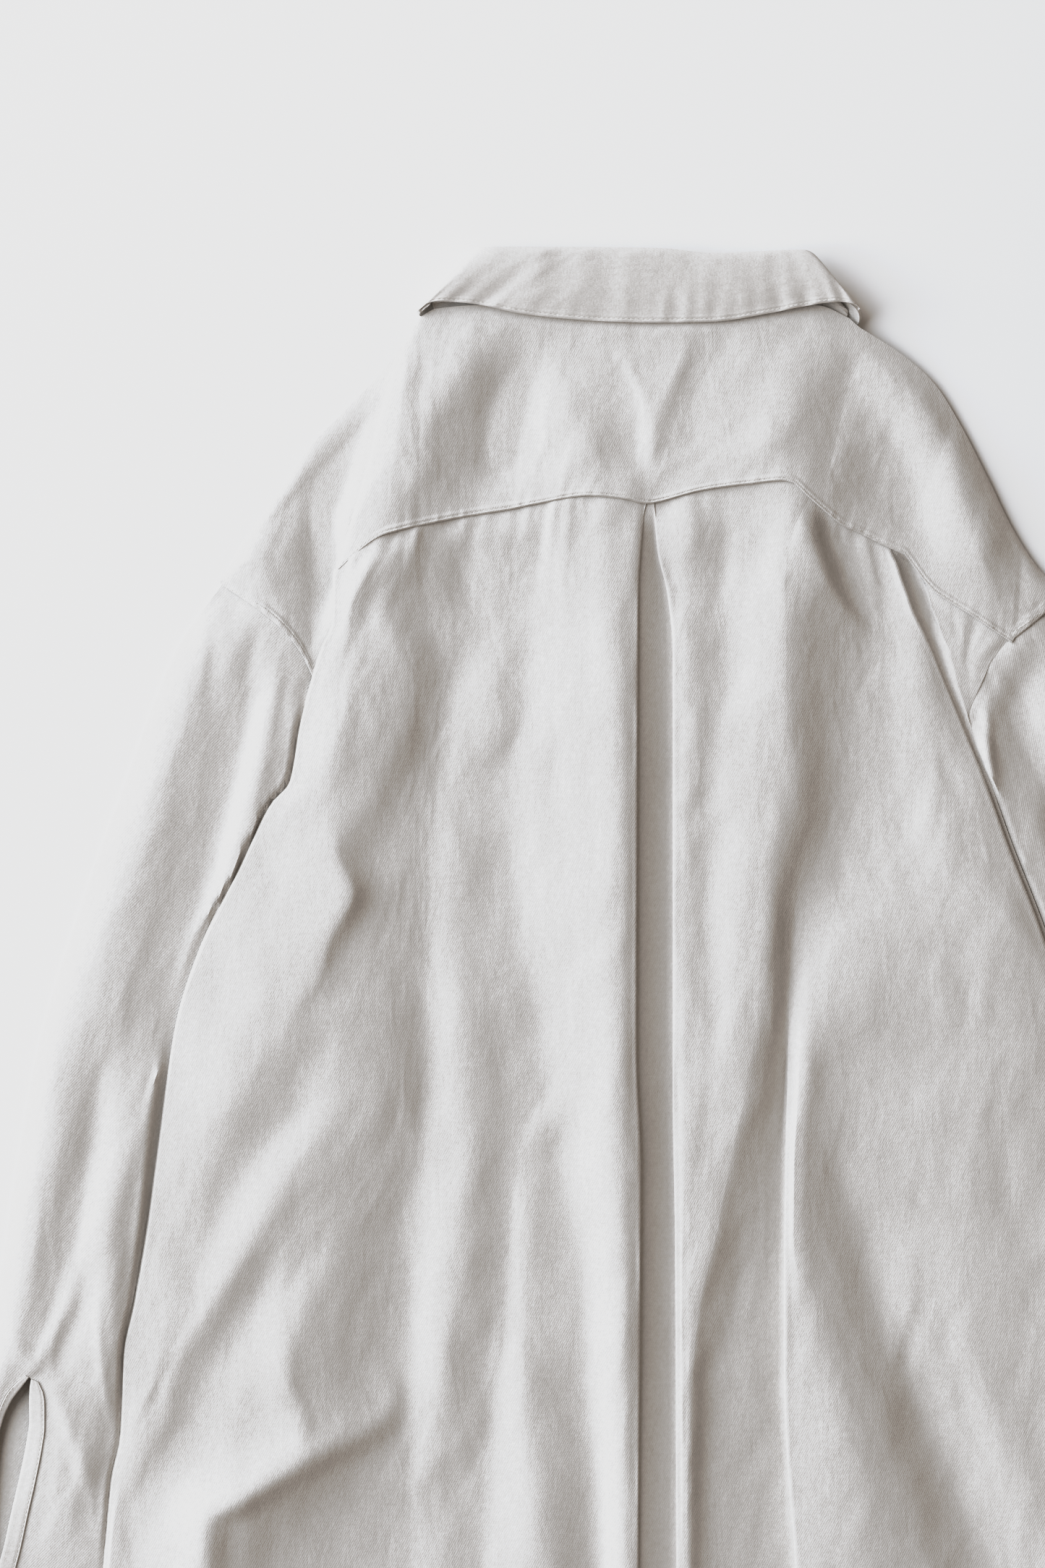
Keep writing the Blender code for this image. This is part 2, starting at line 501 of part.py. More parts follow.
def coons(top, bottom, left, right, across, down):
    """Points between four edge curves that meet at the corners."""
    s = across[None, :, None]
    t = down[:, None, None]
    corners = ((1 - s) * (1 - t) * top[0] + s * (1 - t) * top[-1]
               + (1 - s) * t * bottom[0] + s * t * bottom[-1])
    return (1 - t) * top[None] + t * bottom[None] + (1 - s) * left[:, None] \
        + s * right[:, None] - corners


def sleeve_tables(side):
    """Armhole, outer fold, inner fold and placket top of one sleeve; side is -1 or 1."""
    if side < 0:
        return LEFT_ARMHOLE, SLEEVE_OUTER, SLEEVE_INNER, PLACKET_TOP
    outer = [(-x - SHOULDER_SHIFT, y - 4.0) for x, y in SLEEVE_OUTER]
    inner = [(RIGHT_ARMHOLE[-1][0], RIGHT_ARMHOLE[-1][1])]
    inner += [(-x - SHOULDER_SHIFT, y - 4.0) for x, y in SLEEVE_INNER[1:]]
    return RIGHT_ARMHOLE, outer, inner, (-PLACKET_TOP[0] - SHOULDER_SHIFT, PLACKET_TOP[1] - 4.0)


def sleeve_plan(side, across, rows):
    """Plan of a sleeve between its armhole, its two folds and its end at the cuff."""
    armhole, outer, inner, _ = sleeve_tables(side)
    seam = np.asarray(armhole, float)
    seam[:, 0] += side * GAP * 0.7
    seam[:, 1] -= GAP * 0.7
    down = spread(0, 1, rows, 0.25)
    top = curve(seam, across)
    left = curve(outer, down)
    right = curve(inner, down)
    left[0] = top[0, :2]
    right[0] = top[-1, :2]
    bottom = left[-1] + (right[-1] - left[-1]) * across[:, None]
    plan = coons(top[:, :2], bottom, left, right, across, down)
    return plan, top[:, 2], down


def sleeve_height(side, x, y, across, seam_z, down):
    """Outer height of a sleeve's upper layer."""
    edge = column([(row[0], row[1]) for row in (LEFT_SIDE if side < 0 else RIGHT_SIDE)], y, 1)
    clear = (edge - x) if side < 0 else (x - edge)
    visible = ease((clear - 3.0) / 16.0) * ease((55.0 - y) / 20.0) + ease((y - 35.0) / 20.0)
    high = SLEEVE_UNDER + 4.2 * np.clip(visible, 0, 1)
    mirrored = x if side < 0 else -x - SHOULDER_SHIFT
    folds = fold_heights(mirrored, y, SLEEVE_FOLDS) * np.clip(visible, 0, 1)
    near_cuff = ease((down[:, None] - 0.86) / 0.14)
    high = (high + folds) * (1 - near_cuff) + SLEEVE_UNDER * near_cuff
    near_seam = 1.0 - ease(down[:, None] / 0.12)
    high = high * (1 - near_seam) + seam_z[None] * near_seam
    round_outer = 1.0 - (1.0 - np.clip(across / 0.11, 0, 1)) ** 2.4
    round_inner = 1.0 - (1.0 - np.clip((1 - across) / 0.08, 0, 1)) ** 2.4
    return 1.9 + (high - 1.9) * (round_outer * round_inner)[None]


SLEEVE_ACROSS = np.array([0.0, 0.02, 0.055, 0.11, 0.185, 0.245, 0.31, 0.4, 0.5, 0.62, 0.76, 0.9,
                          0.975, 1.0])
SLEEVE_UNDERSIDE = np.array([0.98, 0.84, 0.62, 0.4, 0.2, 0.02])
LIP = 4                  # the column on the outer lip of the placket; the next is the inner lip


def placket_lips(side, y):
    """The two lips of the placket at height y, outer one first."""
    _, _, _, top = sleeve_tables(side)
    depth = top[1] - y
    middle = PLACKET_TOP[0] + 2.0 - 0.155 * depth + 4.0 * np.sin(np.clip(depth / 45, 0, 1) * math.pi)
    half = 0.5 + 0.5 * PLACKET_OPEN * np.sin(np.clip(depth / 135.0, 0, 1) * math.pi) ** 0.8
    lips = middle - half * 1.6, middle + half * 0.4
    if side < 0:
        return lips
    return tuple(-x - SHOULDER_SHIFT for x in lips)


def sleeve(side, name):
    """One sleeve: a flattened tube of cloth, open at the armhole and the cuff, with its slit."""
    rows = 18
    plan, seam_z, down = sleeve_plan(side, SLEEVE_ACROSS, rows)
    top_y = sleeve_tables(side)[3][1]
    first = int(np.argmin(np.abs(plan[:, LIP, 1] - top_y)))
    for i in range(first, rows):
        for k in (0, 1):
            plan[i, LIP + k, 0] = placket_lips(side, plan[i, LIP + k, 1])[k]
    z = sleeve_height(side, plan[..., 0], plan[..., 1], SLEEVE_ACROSS, seam_z, down)
    upper = np.dstack((plan, z))
    under_plan, _, _ = sleeve_plan(side, SLEEVE_UNDERSIDE[::-1], rows)
    under = np.dstack((under_plan[:, ::-1], np.zeros(under_plan.shape[:2])))
    ring = np.concatenate((upper, under), axis=1)
    cols = ring.shape[1]
    quads = strip_quads(rows, cols, closed=True)
    quads = [q for n, q in enumerate(quads) if not (n % cols == LIP and n // cols >= first)]
    if side > 0:
        quads = [tuple(reversed(q)) for q in quads]
    cloth_wall(name, ring.reshape(-1, 3), quads, ECRU_TWILL)
    return upper, first


def placket_strip(name, upper, first, side, lip, width):
    """A binding on one lip of the placket, made from the sleeve's own points, moved out."""
    line = upper[first:, LIP + lip]
    toward = upper[first:, LIP + lip + (1 if lip else -1)]
    if lip:
        line = np.vstack((upper[first - 1, LIP + 1] * 0.25 + line[0] * 0.75, line))
        toward = np.vstack((upper[first - 1, LIP + 2] * 0.25 + toward[0] * 0.75, toward))
    run = np.linalg.norm((toward - line)[:, :2], axis=1)
    share = np.minimum(width / run, 0.92)
    grid = line[:, None] + (toward - line)[:, None] * np.linspace(0, 1, 3)[None, :, None] \
        * share[:, None, None]
    grid[..., 2] += 1.4 * GAP + BINDING
    grid[-1, :, 1] += 1.0
    rows, cols = grid.shape[:2]
    quads = strip_quads(rows, cols)
    if (side > 0) != (lip == 0):
        quads = [tuple(reversed(q)) for q in quads]
    points = grid.reshape(-1, 3)
    cloth_wall(name, points, quads, ECRU_SHADE, inner=points - (0, 0, BINDING))


def cuff(side, name):
    """One buttoned cuff, pressed flat: a tube of doubled cloth, open at both ends."""
    _, outer, inner, _ = sleeve_tables(side)
    a, b = np.array(outer[-1], float), np.array(inner[-1], float)
    along = (b - a) / np.linalg.norm(b - a)
    down = np.array((along[1], -along[0])) * (1 if along[0] > 0 else -1)
    width = np.linalg.norm(b - a) + 1.0
    section = [(0.0, 3.7), (0.02, 6.4), (0.06, 7.4), (0.3, 7.4), (0.5, 7.4), (0.75, 7.4),
               (0.94, 7.4), (0.98, 6.4), (1.0, 3.7), (0.98, 1.0), (0.94, 0.0), (0.5, 0.0),
               (0.06, 0.0), (0.02, 1.0)]
    rings = []
    for depth in np.linspace(GAP + 0.6, CUFF_DEPTH, 5):
        for share, z in section:
            place = a + down * depth + along * (share * width - 0.5)
            rings.append((place[0], place[1], z))
    quads = strip_quads(5, len(section), closed=True)
    if side > 0:
        quads = [tuple(reversed(q)) for q in quads]
    cloth_wall(name, rings, quads, ECRU_SHADE, DOUBLED)
    place = a + down * CUFF_DEPTH * 0.5 + along * 40.0
    button(name + "_button", (place[0], place[1], 7.4 + GAP))


def front_outline(side):
    """Top, side and hem curves of one front, from its inner edge outwards."""
    shoulder = LEFT_SHOULDER if side < 0 else RIGHT_SHOULDER
    armhole = LEFT_ARMHOLE if side < 0 else RIGHT_ARMHOLE
    edge = LEFT_SIDE if side < 0 else RIGHT_SIDE
    start = -BAND_WIDTH / 2 - GAP if side < 0 else -BAND_WIDTH / 2 + 4.0
    neck = [(start, 187.0), (side * 44.0, 193.0), (side * 84.0, 216.0),
            (shoulder[0][0] - side * 5.0, shoulder[0][1] - 4.0)]
    fold = [(x - side * 2.0, y - 2.0) for x, y, _ in shoulder[1:-1]]
    point = (armhole[0][0] - side * 1.5, armhole[0][1] - 1.0)
    top = join_curves(curve(neck, 24), curve([neck[-1]] + fold + [point], 30))
    top = top[np.round(np.linspace(0, len(top) - 1, FRONT_COLS)).astype(int)]
    seam = [(x - side * 3.4, y) for x, y, _ in armhole[1:7] if y > -1.0]
    body = [(x - side * 3.2, y) for y, x, _, _ in edge if y < -20.0]
    side_line = curve([point] + seam + [(near_side(-6.0, side) - side * 2.5, -6.0)] + body,
                      FRONT_ROWS - 1)
    hem_x = np.linspace(start, side_line[-1, 0], FRONT_COLS)
    hem = np.column_stack((hem_x, hem_y(hem_x) + 10.0))
    hem[-1] = side_line[-1]
    centre = np.column_stack((np.full(FRONT_ROWS, start),
                              np.linspace(top[0, 1], hem[0, 1], FRONT_ROWS)))
    return top, side_line, hem, centre


def front(side, name):
    """One front, face down on the table."""
    top, side_line, hem, centre = front_outline(side)
    plan = coons(top, hem, centre, side_line, np.linspace(0, 1, FRONT_COLS),
                 np.linspace(0, 1, FRONT_ROWS))
    if side > 0:
        neck = top.copy()
        for j, x in ((1, 2.0), (2, BAND_WIDTH / 2 + 1.5), (3, 42.0)):
            new_x = x + (plan[:, j, 0] - x) * 0.12
            shift = np.interp(new_x, neck[:, 0], neck[:, 1]) - neck[j, 1]
            plan[:, j, 0] = new_x
            plan[:, j, 1] += shift * np.linspace(1, 0, FRONT_ROWS)
    x, y = plan[..., 0], plan[..., 1]
    low = front_low(x, y)
    if side > 0:
        low = np.maximum(low, (BAND_THICK + 0.4) * ease((41.0 - x) / 20.0))
    points = np.dstack((x, y, low + CLOTH)).reshape(-1, 3)
    quads = strip_quads(*plan.shape[:2])
    if side < 0:
        quads = [tuple(reversed(q)) for q in quads]
    cloth_wall(name, points, quads, ECRU_TWILL, inner=points - (0, 0, CLOTH))


def disc(radius, low, high, place, sides=20):
    """A closed upright cylinder with a softened rim."""
    rim = min(0.3, (high - low) * 0.2)
    rings = ((radius - rim, low), (radius, low + rim), (radius, high - rim), (radius - rim, high))
    points = []
    for r, z in rings:
        for k in range(sides):
            turn = 2 * math.pi * k / sides
            points.append((place[0] + r * math.cos(turn), place[1] + r * math.sin(turn), z))
    faces = []
    for i in range(3):
        for k in range(sides):
            n = (k + 1) % sides
            faces.append((i * sides + k, i * sides + n, (i + 1) * sides + n, (i + 1) * sides + k))
    faces.append(tuple(reversed(range(sides))))
    faces.append(tuple(range(3 * sides, 4 * sides)))
    return points, faces


def button(name, place):
    """A flat round shirt button with its back at the given place."""
    points, faces = disc(BUTTON_RADIUS, place[2], place[2] + BUTTON_THICK, place)
    return make_object(name, points, faces, SHELL)


def front_band():
    """The button band down the centre front, with a hollow that closes on each button."""
    top, low = BAND_TOP, HEM_CENTRE_Y + 12.0
    half = BAND_WIDTH / 2
    corners = [(x, y, z) for z in (0.0, BAND_THICK) for x, y in
               ((-half, low), (half, low), (half, top), (-half, top))]
    faces = [(3, 2, 1, 0), (4, 5, 6, 7), (0, 1, 5, 4), (1, 2, 6, 5), (2, 3, 7, 6), (3, 0, 4, 7)]
    band = make_object("front_band", corners, faces, ECRU_SHADE)
    pitch = (top - low - FIRST_BUTTON - LAST_BUTTON) / (FRONT_BUTTONS - 1)
    for n in range(FRONT_BUTTONS):
        y = top - FIRST_BUTTON - n * pitch
        button("front_button_%d" % (n + 1), (0.0, y, 0.0))
        points, faces = disc(BUTTON_RADIUS + BUTTON_POCKET, -2.0, BUTTON_THICK + GAP, (0.0, y))
        cutter = make_object("hollow_%d" % (n + 1), points, faces, ECRU_SHADE)
        cutter.hide_render = True
        cutter.display_type = "WIRE"
        cut = band.modifiers.new("hollow for button %d" % (n + 1), "BOOLEAN")
        cut.operation = "DIFFERENCE"
        cut.object = cutter
        cut.solver = "EXACT"


def loft_sections(sections, steps, bulge=0.0):
    """Straight or slightly crowned lines between pairs of points, one for each section."""
    rows = []
    for fx, fy, fz, ox, oy, oz in sections:
        a, b = np.array((fx, fy, fz), float), np.array((ox, oy, oz), float)
        lift = 1.0 if fz > 12.0 else 0.0
        rows.append([a + (b - a) * t + (0, 0, bulge * lift * math.sin(math.pi * t)) for t in steps])
    return np.array(rows)


def band_round_neck(name, sections, steps, bulge):
    """A band of doubled cloth that runs round the neck, outside facing out."""
    grid = loft_sections(sections, steps, bulge)
    rows, cols = grid.shape[:2]
    quads = [tuple(reversed(q)) for q in strip_quads(rows, cols)]
    cloth_wall(name, grid.reshape(-1, 3), quads, ECRU_SHADE, DOUBLED)


def collar():
    """The fall, folded over the stand, and the stand between it and the neckline."""
    band_round_neck("collar_fall", FALL_SECTIONS, np.array((0.0, 0.06, 0.3, 0.65, 1.0)), 1.2)
    band_round_neck("collar_stand", STAND_SECTIONS, np.array((0.0, 0.33, 0.67, 1.0)), 0.0)
    button("collar_button", (0.0, 203.0, 0.0))


def main():
    for old in list(bpy.data.objects):
        bpy.data.objects.remove(old, do_unlink=True)
    back = back_surface()
    rows, cols = back.shape[:2]
    cloth_wall("back", back.reshape(-1, 3), strip_quads(rows, cols), ECRU_TWILL,
               plumb=range(cols))
    yoke = yoke_surface(back[0])
    rows, cols = yoke.shape[:2]
    quads = [tuple(reversed(q)) for q in strip_quads(rows, cols)]
    cloth_wall("yoke", yoke.reshape(-1, 3), quads, ECRU_TWILL,
               plumb=list(range(cols)) + list(range((rows - 1) * cols, rows * cols)))
    for side, hand in ((-1, "left"), (1, "right")):
        upper, first = sleeve(side, "sleeve_" + hand)
        placket_strip("placket_%s" % hand, upper, first, side, 1, 9.5)
        placket_strip("placket_%s_facing" % hand, upper, first, side, 0, 5.0)
        cuff(side, "cuff_" + hand)
        front(side, "front_" + hand)
    front_band()
    collar()


main()
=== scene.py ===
# %% [markdown]
# # A crumpled cotton shirt, laid face down
# The shirt is a washed, off-white cotton twill one. It lies on its front, so the back, the yoke,
# the collar and the sleeves show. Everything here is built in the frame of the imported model:
# metres, with the table at z = 0, the origin under the centre back, +Y up to the collar. The
# numbers that describe the cloth are in millimetres.
#
# Each garment piece is a thin wall of cloth over a grid of points. The grid's columns follow the
# folds, so a fold keeps a crisp crest without a very fine mesh.

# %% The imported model
import math

import bpy
import numpy as np
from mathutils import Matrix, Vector
from mathutils.bvhtree import BVHTree


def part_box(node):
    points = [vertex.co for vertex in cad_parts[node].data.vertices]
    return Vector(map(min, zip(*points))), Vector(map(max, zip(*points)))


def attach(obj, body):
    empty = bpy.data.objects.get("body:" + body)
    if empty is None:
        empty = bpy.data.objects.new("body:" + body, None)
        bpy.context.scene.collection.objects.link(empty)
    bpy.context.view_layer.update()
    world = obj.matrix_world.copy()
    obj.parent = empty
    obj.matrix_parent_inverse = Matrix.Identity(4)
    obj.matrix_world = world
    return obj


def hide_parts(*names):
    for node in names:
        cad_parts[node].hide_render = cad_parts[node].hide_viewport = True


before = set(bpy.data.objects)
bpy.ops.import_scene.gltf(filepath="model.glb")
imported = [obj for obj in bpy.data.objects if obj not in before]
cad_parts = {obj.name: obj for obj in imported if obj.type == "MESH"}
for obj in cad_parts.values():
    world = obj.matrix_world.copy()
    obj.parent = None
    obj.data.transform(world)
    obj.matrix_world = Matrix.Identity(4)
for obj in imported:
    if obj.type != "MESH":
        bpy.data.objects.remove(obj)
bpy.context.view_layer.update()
MM = 0.001

# %% [markdown]
# ## The camera, the light and the table
# The photograph looks straight down from far away, so a long lens at 3 m gives nearly parallel
# lines of sight. One photo pixel is 0.4 mm on the table. The light is a very soft one from the left
# and a little above, like a big window: a wide round panel some metres away. It is near enough for
# the lower right of the cloth to be a little darker.

# %% Camera
FRAME_PIXELS = (1445, 2168)
CENTRE_BACK = 898               # pixel column of the centre back
PIXEL = 0.4                     # millimetres of table for one pixel of the photograph
SENSOR, CAMERA_HEIGHT = 36.0, 3.0
scene = bpy.context.scene


def linked(name, data):
    """A new object in the scene, from its data."""
    thing = bpy.data.objects.new(name, data)
    scene.collection.objects.link(thing)
    return thing


lens = bpy.data.cameras.new("camera")
lens.sensor_width = SENSOR
lens.lens = SENSOR * CAMERA_HEIGHT / (FRAME_PIXELS[1] * PIXEL * MM)
camera = linked("camera", lens)
camera.location = ((FRAME_PIXELS[0] / 2 - CENTRE_BACK) * PIXEL * MM, 0.0, CAMERA_HEIGHT)
scene.camera = camera
print("lens", round(lens.lens, 1), "mm")


# %% Colours and nodes
def linear(code):
    """A colour's linear values, from its sRGB hex code."""
    values = [int(code[k:k + 2], 16) / 255 for k in (1, 3, 5)]
    return [v / 12.92 if v <= 0.04045 else ((v + 0.055) / 1.055) ** 2.4 for v in values] + [1.0]


def add(tree, kind, sockets=None, **settings):
    """Adds a node with its settings; each socket gets a value or another node's output."""
    node = tree.nodes.new(kind)
    for key, value in settings.items():
        setattr(node, key, value)
    for key, value in (sockets or {}).items():
        if isinstance(value, bpy.types.NodeSocket):
            tree.links.new(value, node.inputs[key])
        else:
            node.inputs[key].default_value = value
    return node


def new_material(name, sockets):
    """A new material with values on its shader's own sockets, its node tree and the shader."""
    material = bpy.data.materials.new(name)
    material.use_nodes = True
    shader = material.node_tree.nodes["Principled BSDF"]
    for key, value in sockets.items():
        shader.inputs[key].default_value = value
    return material, material.node_tree, shader


# %% The photograph's tones
# Its highlights roll off softly, so the brightest cloth stays below the white table. Its shadows
# are a little warm, its bright parts neutral. Curve 3 is for all colours, 0 for red, 2 for blue.
WHITE_SHOWN = 0.80
TONE_CURVES = {
    3: ((0.25, 0.20), (0.33, 0.28), (0.49, 0.425), (0.60, 0.55), (0.68, 0.65), (0.75, 0.712),
        (0.80, 0.738), (0.84, 0.754), (0.88, 0.780), (0.92, 0.791)),
    0: ((0.20, 0.207), (0.33, 0.343), (0.50, 0.505), (0.70, 0.70)),
    2: ((0.20, 0.189), (0.33, 0.314), (0.50, 0.494), (0.70, 0.70)),
}
scene.view_settings.view_transform = "Standard"
scene.view_settings.use_curve_mapping = True
tones = scene.view_settings.curve_mapping
tones.curves[3].points[1].location = (1.0, WHITE_SHOWN)
for channel, points in TONE_CURVES.items():
    for level, shown in points:
        tones.curves[channel].points.new(level, shown)
tones.update()
print("tone curves", len(TONE_CURVES))

# %% Light
LIGHT_FROM = (-0.80, 0.30, 0.62)
KEY_DISTANCE, KEY_SIZE, KEY_WATTS = 5.0, 6.0, 512.0
KEY_COLOUR = (0.862, 0.928, 1.0)
SKY_COLOUR, SKY_STRENGTH = (1.0, 0.84, 0.715, 1.0), 0.235

panel = bpy.data.lights.new("soft key", "AREA")
panel.shape = "DISK"
panel.size, panel.energy, panel.color = KEY_SIZE, KEY_WATTS, KEY_COLOUR
key = linked("soft key", panel)
toward = Vector(LIGHT_FROM).normalized()
key.location = toward * KEY_DISTANCE
key.rotation_euler = toward.to_track_quat("Z", "Y").to_euler()
key.visible_camera = False
world = bpy.data.worlds.new("studio")
world.use_nodes = True
sky = world.node_tree.nodes["Background"].inputs
sky["Color"].default_value, sky["Strength"].default_value = SKY_COLOUR, SKY_STRENGTH
scene.world = world
print("light from", LIGHT_FROM)

# %% Table
TABLE_HALF = 40.0               # metres, so that its edge stays out of every view
TABLE_DROP = 0.0002             # it lies a hair under the cloth
# Matt board has no gloss, so only the soft shadows of the cloth show on it
paper, _, _ = new_material("matt pale board", {
    "Base Color": linear("#F2F1F0"), "Roughness": 0.95, "Specular IOR Level": 0.1})
board = bpy.data.meshes.new("table")
corners = [(TABLE_HALF * a, TABLE_HALF * b, 0) for a, b in ((-1, -1), (1, -1), (1, 1), (-1, 1))]
board.from_pydata(corners, [], [(0, 1, 2, 3)])
board.materials.append(paper)
table = linked("table", board)
table.location.z = -TABLE_DROP
print("table", 2 * TABLE_HALF, "m wide")

# %% [markdown]
# ## Twill
# The cloth is cotton twill: diagonal ribs about a millimetre apart, raised a little by washing. It
# is matt, with a faint fuzz that catches light at a slant. Fuzz, slubs (short thick places in the
# yarn) and slow clouds make its colour waver, as undyed cotton's does. Between the folds that are
# modelled lie shallow creases, which are bumps here.

# %% The cloth's material
RIB_PITCH, RIB_TURN = 1.1, 28   # a little coarser than real ribs; degrees off the warp
WAVE_PITCH = 0.314              # between the bands of a wave texture of scale 1
# stretch along the warp, size in mm, detail, roughness, distortion
NOISES = {
    "fuzz": (1.0, 0.9, 3.0, 0.65, 0.0),
    "slubs": (1.0, 2.4, 2.0, 0.7, 0.0),
    "yarn": (0.12, 1.3, 2.0, 0.5, 0.0),
    "clouds": (1.0, 70, 3.0, 0.6, 0.0),
    "creases": (0.45, 17, 4.0, 0.55, 0.7),
}
COLOUR_SHARES = (("fuzz", 1.1), ("slubs", 1.2), ("yarn", 0.25), ("clouds", 0.55))
# strength and height in mm of each bump
BUMPS = (("creases", 0.45, 1.5), ("yarn", 0.6, 0.14), ("ribs", 0.5, 0.10), ("fuzz", 0.8, 0.22))


def twill(name, pale, shade, grain=0.0, crumple=1.0):
    """Washed cotton twill; grain is the turn of the warp about Z, in degrees."""
    material, tree, shader = new_material(name, {
        "Roughness": 0.92, "Specular IOR Level": 0.18, "Sheen Weight": 0.22,
        "Sheen Roughness": 0.55})
    grid = add(tree, "ShaderNodeMapping", {
        "Vector": add(tree, "ShaderNodeTexCoord").outputs["Object"],
        "Rotation": (0, 0, math.radians(grain))})
    across = add(tree, "ShaderNodeMapping", {
        "Vector": grid.outputs["Vector"], "Rotation": (0, 0, math.radians(RIB_TURN))})
    ribs = add(tree, "ShaderNodeTexWave", {
        "Vector": across.outputs["Vector"], "Scale": WAVE_PITCH / (RIB_PITCH * MM),
        "Distortion": 1.4, "Detail": 2.0, "Detail Scale": 1.6}, bands_direction="X")
    heights = {"ribs": ribs.outputs["Fac"]}
    for label, (stretch, size, detail, rough, twist) in NOISES.items():
        stretched = add(tree, "ShaderNodeMapping", {
            "Vector": grid.outputs["Vector"], "Scale": (1.0, stretch, 1.0)})
        heights[label] = add(tree, "ShaderNodeTexNoise", {
            "Vector": stretched.outputs["Vector"], "Scale": 1 / (size * MM), "Detail": detail,
            "Roughness": rough, "Distortion": twist}).outputs["Fac"]
    # The pale and the darker tone are mixed by all of the colour's shares together
    tone = 0.0
    for label, share in COLOUR_SHARES:
        tone = add(tree, "ShaderNodeMath", {
            0: heights[label], 1: share, 2: tone}, operation="MULTIPLY_ADD").outputs[0]
    tone = add(tree, "ShaderNodeMapRange", {"Value": tone, "From Min": 1.0, "From Max": 2.1})
    colour = add(tree, "ShaderNodeMix", {
        0: tone.outputs["Result"], 6: linear(shade), 7: linear(pale)}, data_type="RGBA")
    tree.links.new(colour.outputs[2], shader.inputs["Base Color"])
    below = {}
    for label, strength, height in BUMPS:
        bump = add(tree, "ShaderNodeBump", {
            "Height": heights[label], "Distance": height * MM,
            "Strength": strength * (crumple if label == "creases" else 1.0), **below})
        below = {"Normal": bump.outputs["Normal"]}
    tree.links.new(bump.outputs["Normal"], shader.inputs["Normal"])
    return material


# The doubled cloth's paler colour is partly its own, since two layers are more opaque, and partly
# painted light that lifts the shade on the collar's sloping fall.
CLOTH_COLOURS, DOUBLED_COLOURS_PAINTED_LIGHTER = ("#DAD7D4", "#C3BFBB"), ("#E0DDDA", "#CAC6C2")
SLEEVE_TURN = 17                # degrees between a sleeve's warp and the body's
BODY_CLOTH = twill("washed cotton twill, body", *CLOTH_COLOURS)
LEFT_CLOTH = twill("washed cotton twill, left sleeve", *CLOTH_COLOURS, grain=SLEEVE_TURN)
RIGHT_CLOTH = twill("washed cotton twill, right sleeve", *CLOTH_COLOURS, grain=-SLEEVE_TURN)
DOUBLE_CLOTH_PAINTED_LIGHTER = twill("washed cotton twill, doubled, painted lighter", *DOUBLED_COLOURS_PAINTED_LIGHTER, grain=90, crumple=0.5)
print("noises in the cloth", len(NOISES))


# %% [markdown]
# ## Numbers for cloth
# A garment's outline is a list of edges that run down it. A table gives each edge at a few heights,
# and a smooth curve joins them. Soft folds are added on top: each is a short route with a height,
# and a run to its left and right that says how far it spreads. A crisp fold has a sharp crest with
# hollow flanks, which is how stiff cloth bends.

# %% Curves and steps
def ease(t):
    """A soft step from 0 to 1."""
    t = np.clip(t, 0.0, 1.0)
    return t * t * (3.0 - 2.0 * t)


def ramp(v, start, end):
    """A soft step: 0 where v is at its start, 1 where it is at its end."""
    return ease((v - start) / (end - start))


def run_of(points):
    """Distance along a line of points, from its first."""
    return np.concatenate(([0], np.cumsum(np.linalg.norm(np.diff(points, axis=0), axis=1))))


def smooth_line(points, parts):
    """A Catmull-Rom curve through the points, cut into equal parts between each two."""
    ends = np.vstack((2 * points[0] - points[1], points, 2 * points[-1] - points[-2]))
    line = []
    for i in range(1, len(ends) - 2):
        a, b, c, d = ends[i - 1:i + 3]
        for t in np.linspace(0.0, 1.0, parts, endpoint=False):
            line.append(0.5 * (2 * b + (c - a) * t + (2 * a - 5 * b + 4 * c - d) * t ** 2
                               + (3 * b - a - 3 * c + d) * t ** 3))
    return np.array(line + [points[-1]])


def curve(points, spaces):
    """Points spread evenly by length along a smooth curve; spaces may be their shares of it."""
    dense = smooth_line(np.asarray(points, float), 12)
    run = run_of(dense[:, :2])
    wanted = np.linspace(0.0, run[-1], spaces + 1) if np.isscalar(spaces) else spaces * run[-1]
    return np.column_stack([np.interp(wanted, run, values) for values in dense.T])


def tangents(gaps, rises):
    """Slopes at the points of a curve: none at a crest or a trough, the harmonic mean elsewhere."""
    same = rises[:-1] * rises[1:] > 0
    weights = gaps[:-1] + 2 * gaps[1:], 2 * gaps[:-1] + gaps[1:]
    safe = np.where(same, rises[:-1], 1.0), np.where(same, rises[1:], 1.0)
    inner = np.where(same, sum(weights) / (weights[1] / safe[0] + weights[0] / safe[1]), 0.0)
    return np.concatenate((rises[:1], inner, rises[-1:]))


def smooth_steps(knots, values, wanted):
    """Values between knots, never past them; both may have a second axis, one curve for each."""
    knots, values = np.asarray(knots, float), np.asarray(values, float)
    gaps = np.maximum(np.diff(knots, axis=0), 1e-6)
    slopes = tangents(gaps, np.diff(values, axis=0) / gaps)
    if knots.ndim == 1:
        k = np.clip(np.searchsorted(knots, wanted, side="right") - 1, 0, len(knots) - 2)
        here, after = k, k + 1
    else:
        k = np.clip((wanted[None] >= knots).sum(0) - 1, 0, len(knots) - 2)
        each = np.arange(knots.shape[1])
        here, after = (k, each), (k + 1, each)
    t = np.clip((wanted - knots[here]) / gaps[here], 0.0, 1.0)
    return (values[here] * (1 + 2 * t) * (1 - t) ** 2 + values[after] * t * t * (3 - 2 * t)
            + gaps[here] * (slopes[here] * t * (1 - t) ** 2 - slopes[after] * t * t * (1 - t)))


def column(rows, y, k):
    """Column k of a table at heights y; the table's rows run down."""
    numbers = np.asarray(rows, float)[::-1]
    return smooth_steps(numbers[:, 0], numbers[:, k], np.asarray(y, float))


def spread(first, last, count, ends_closer=0.35):
    """Numbers between two ends, closer together near both."""
    t = np.linspace(0.0, 1.0, count)
    return first + (last - first) * (t - ends_closer * np.sin(2 * math.pi * t) / (2 * math.pi))


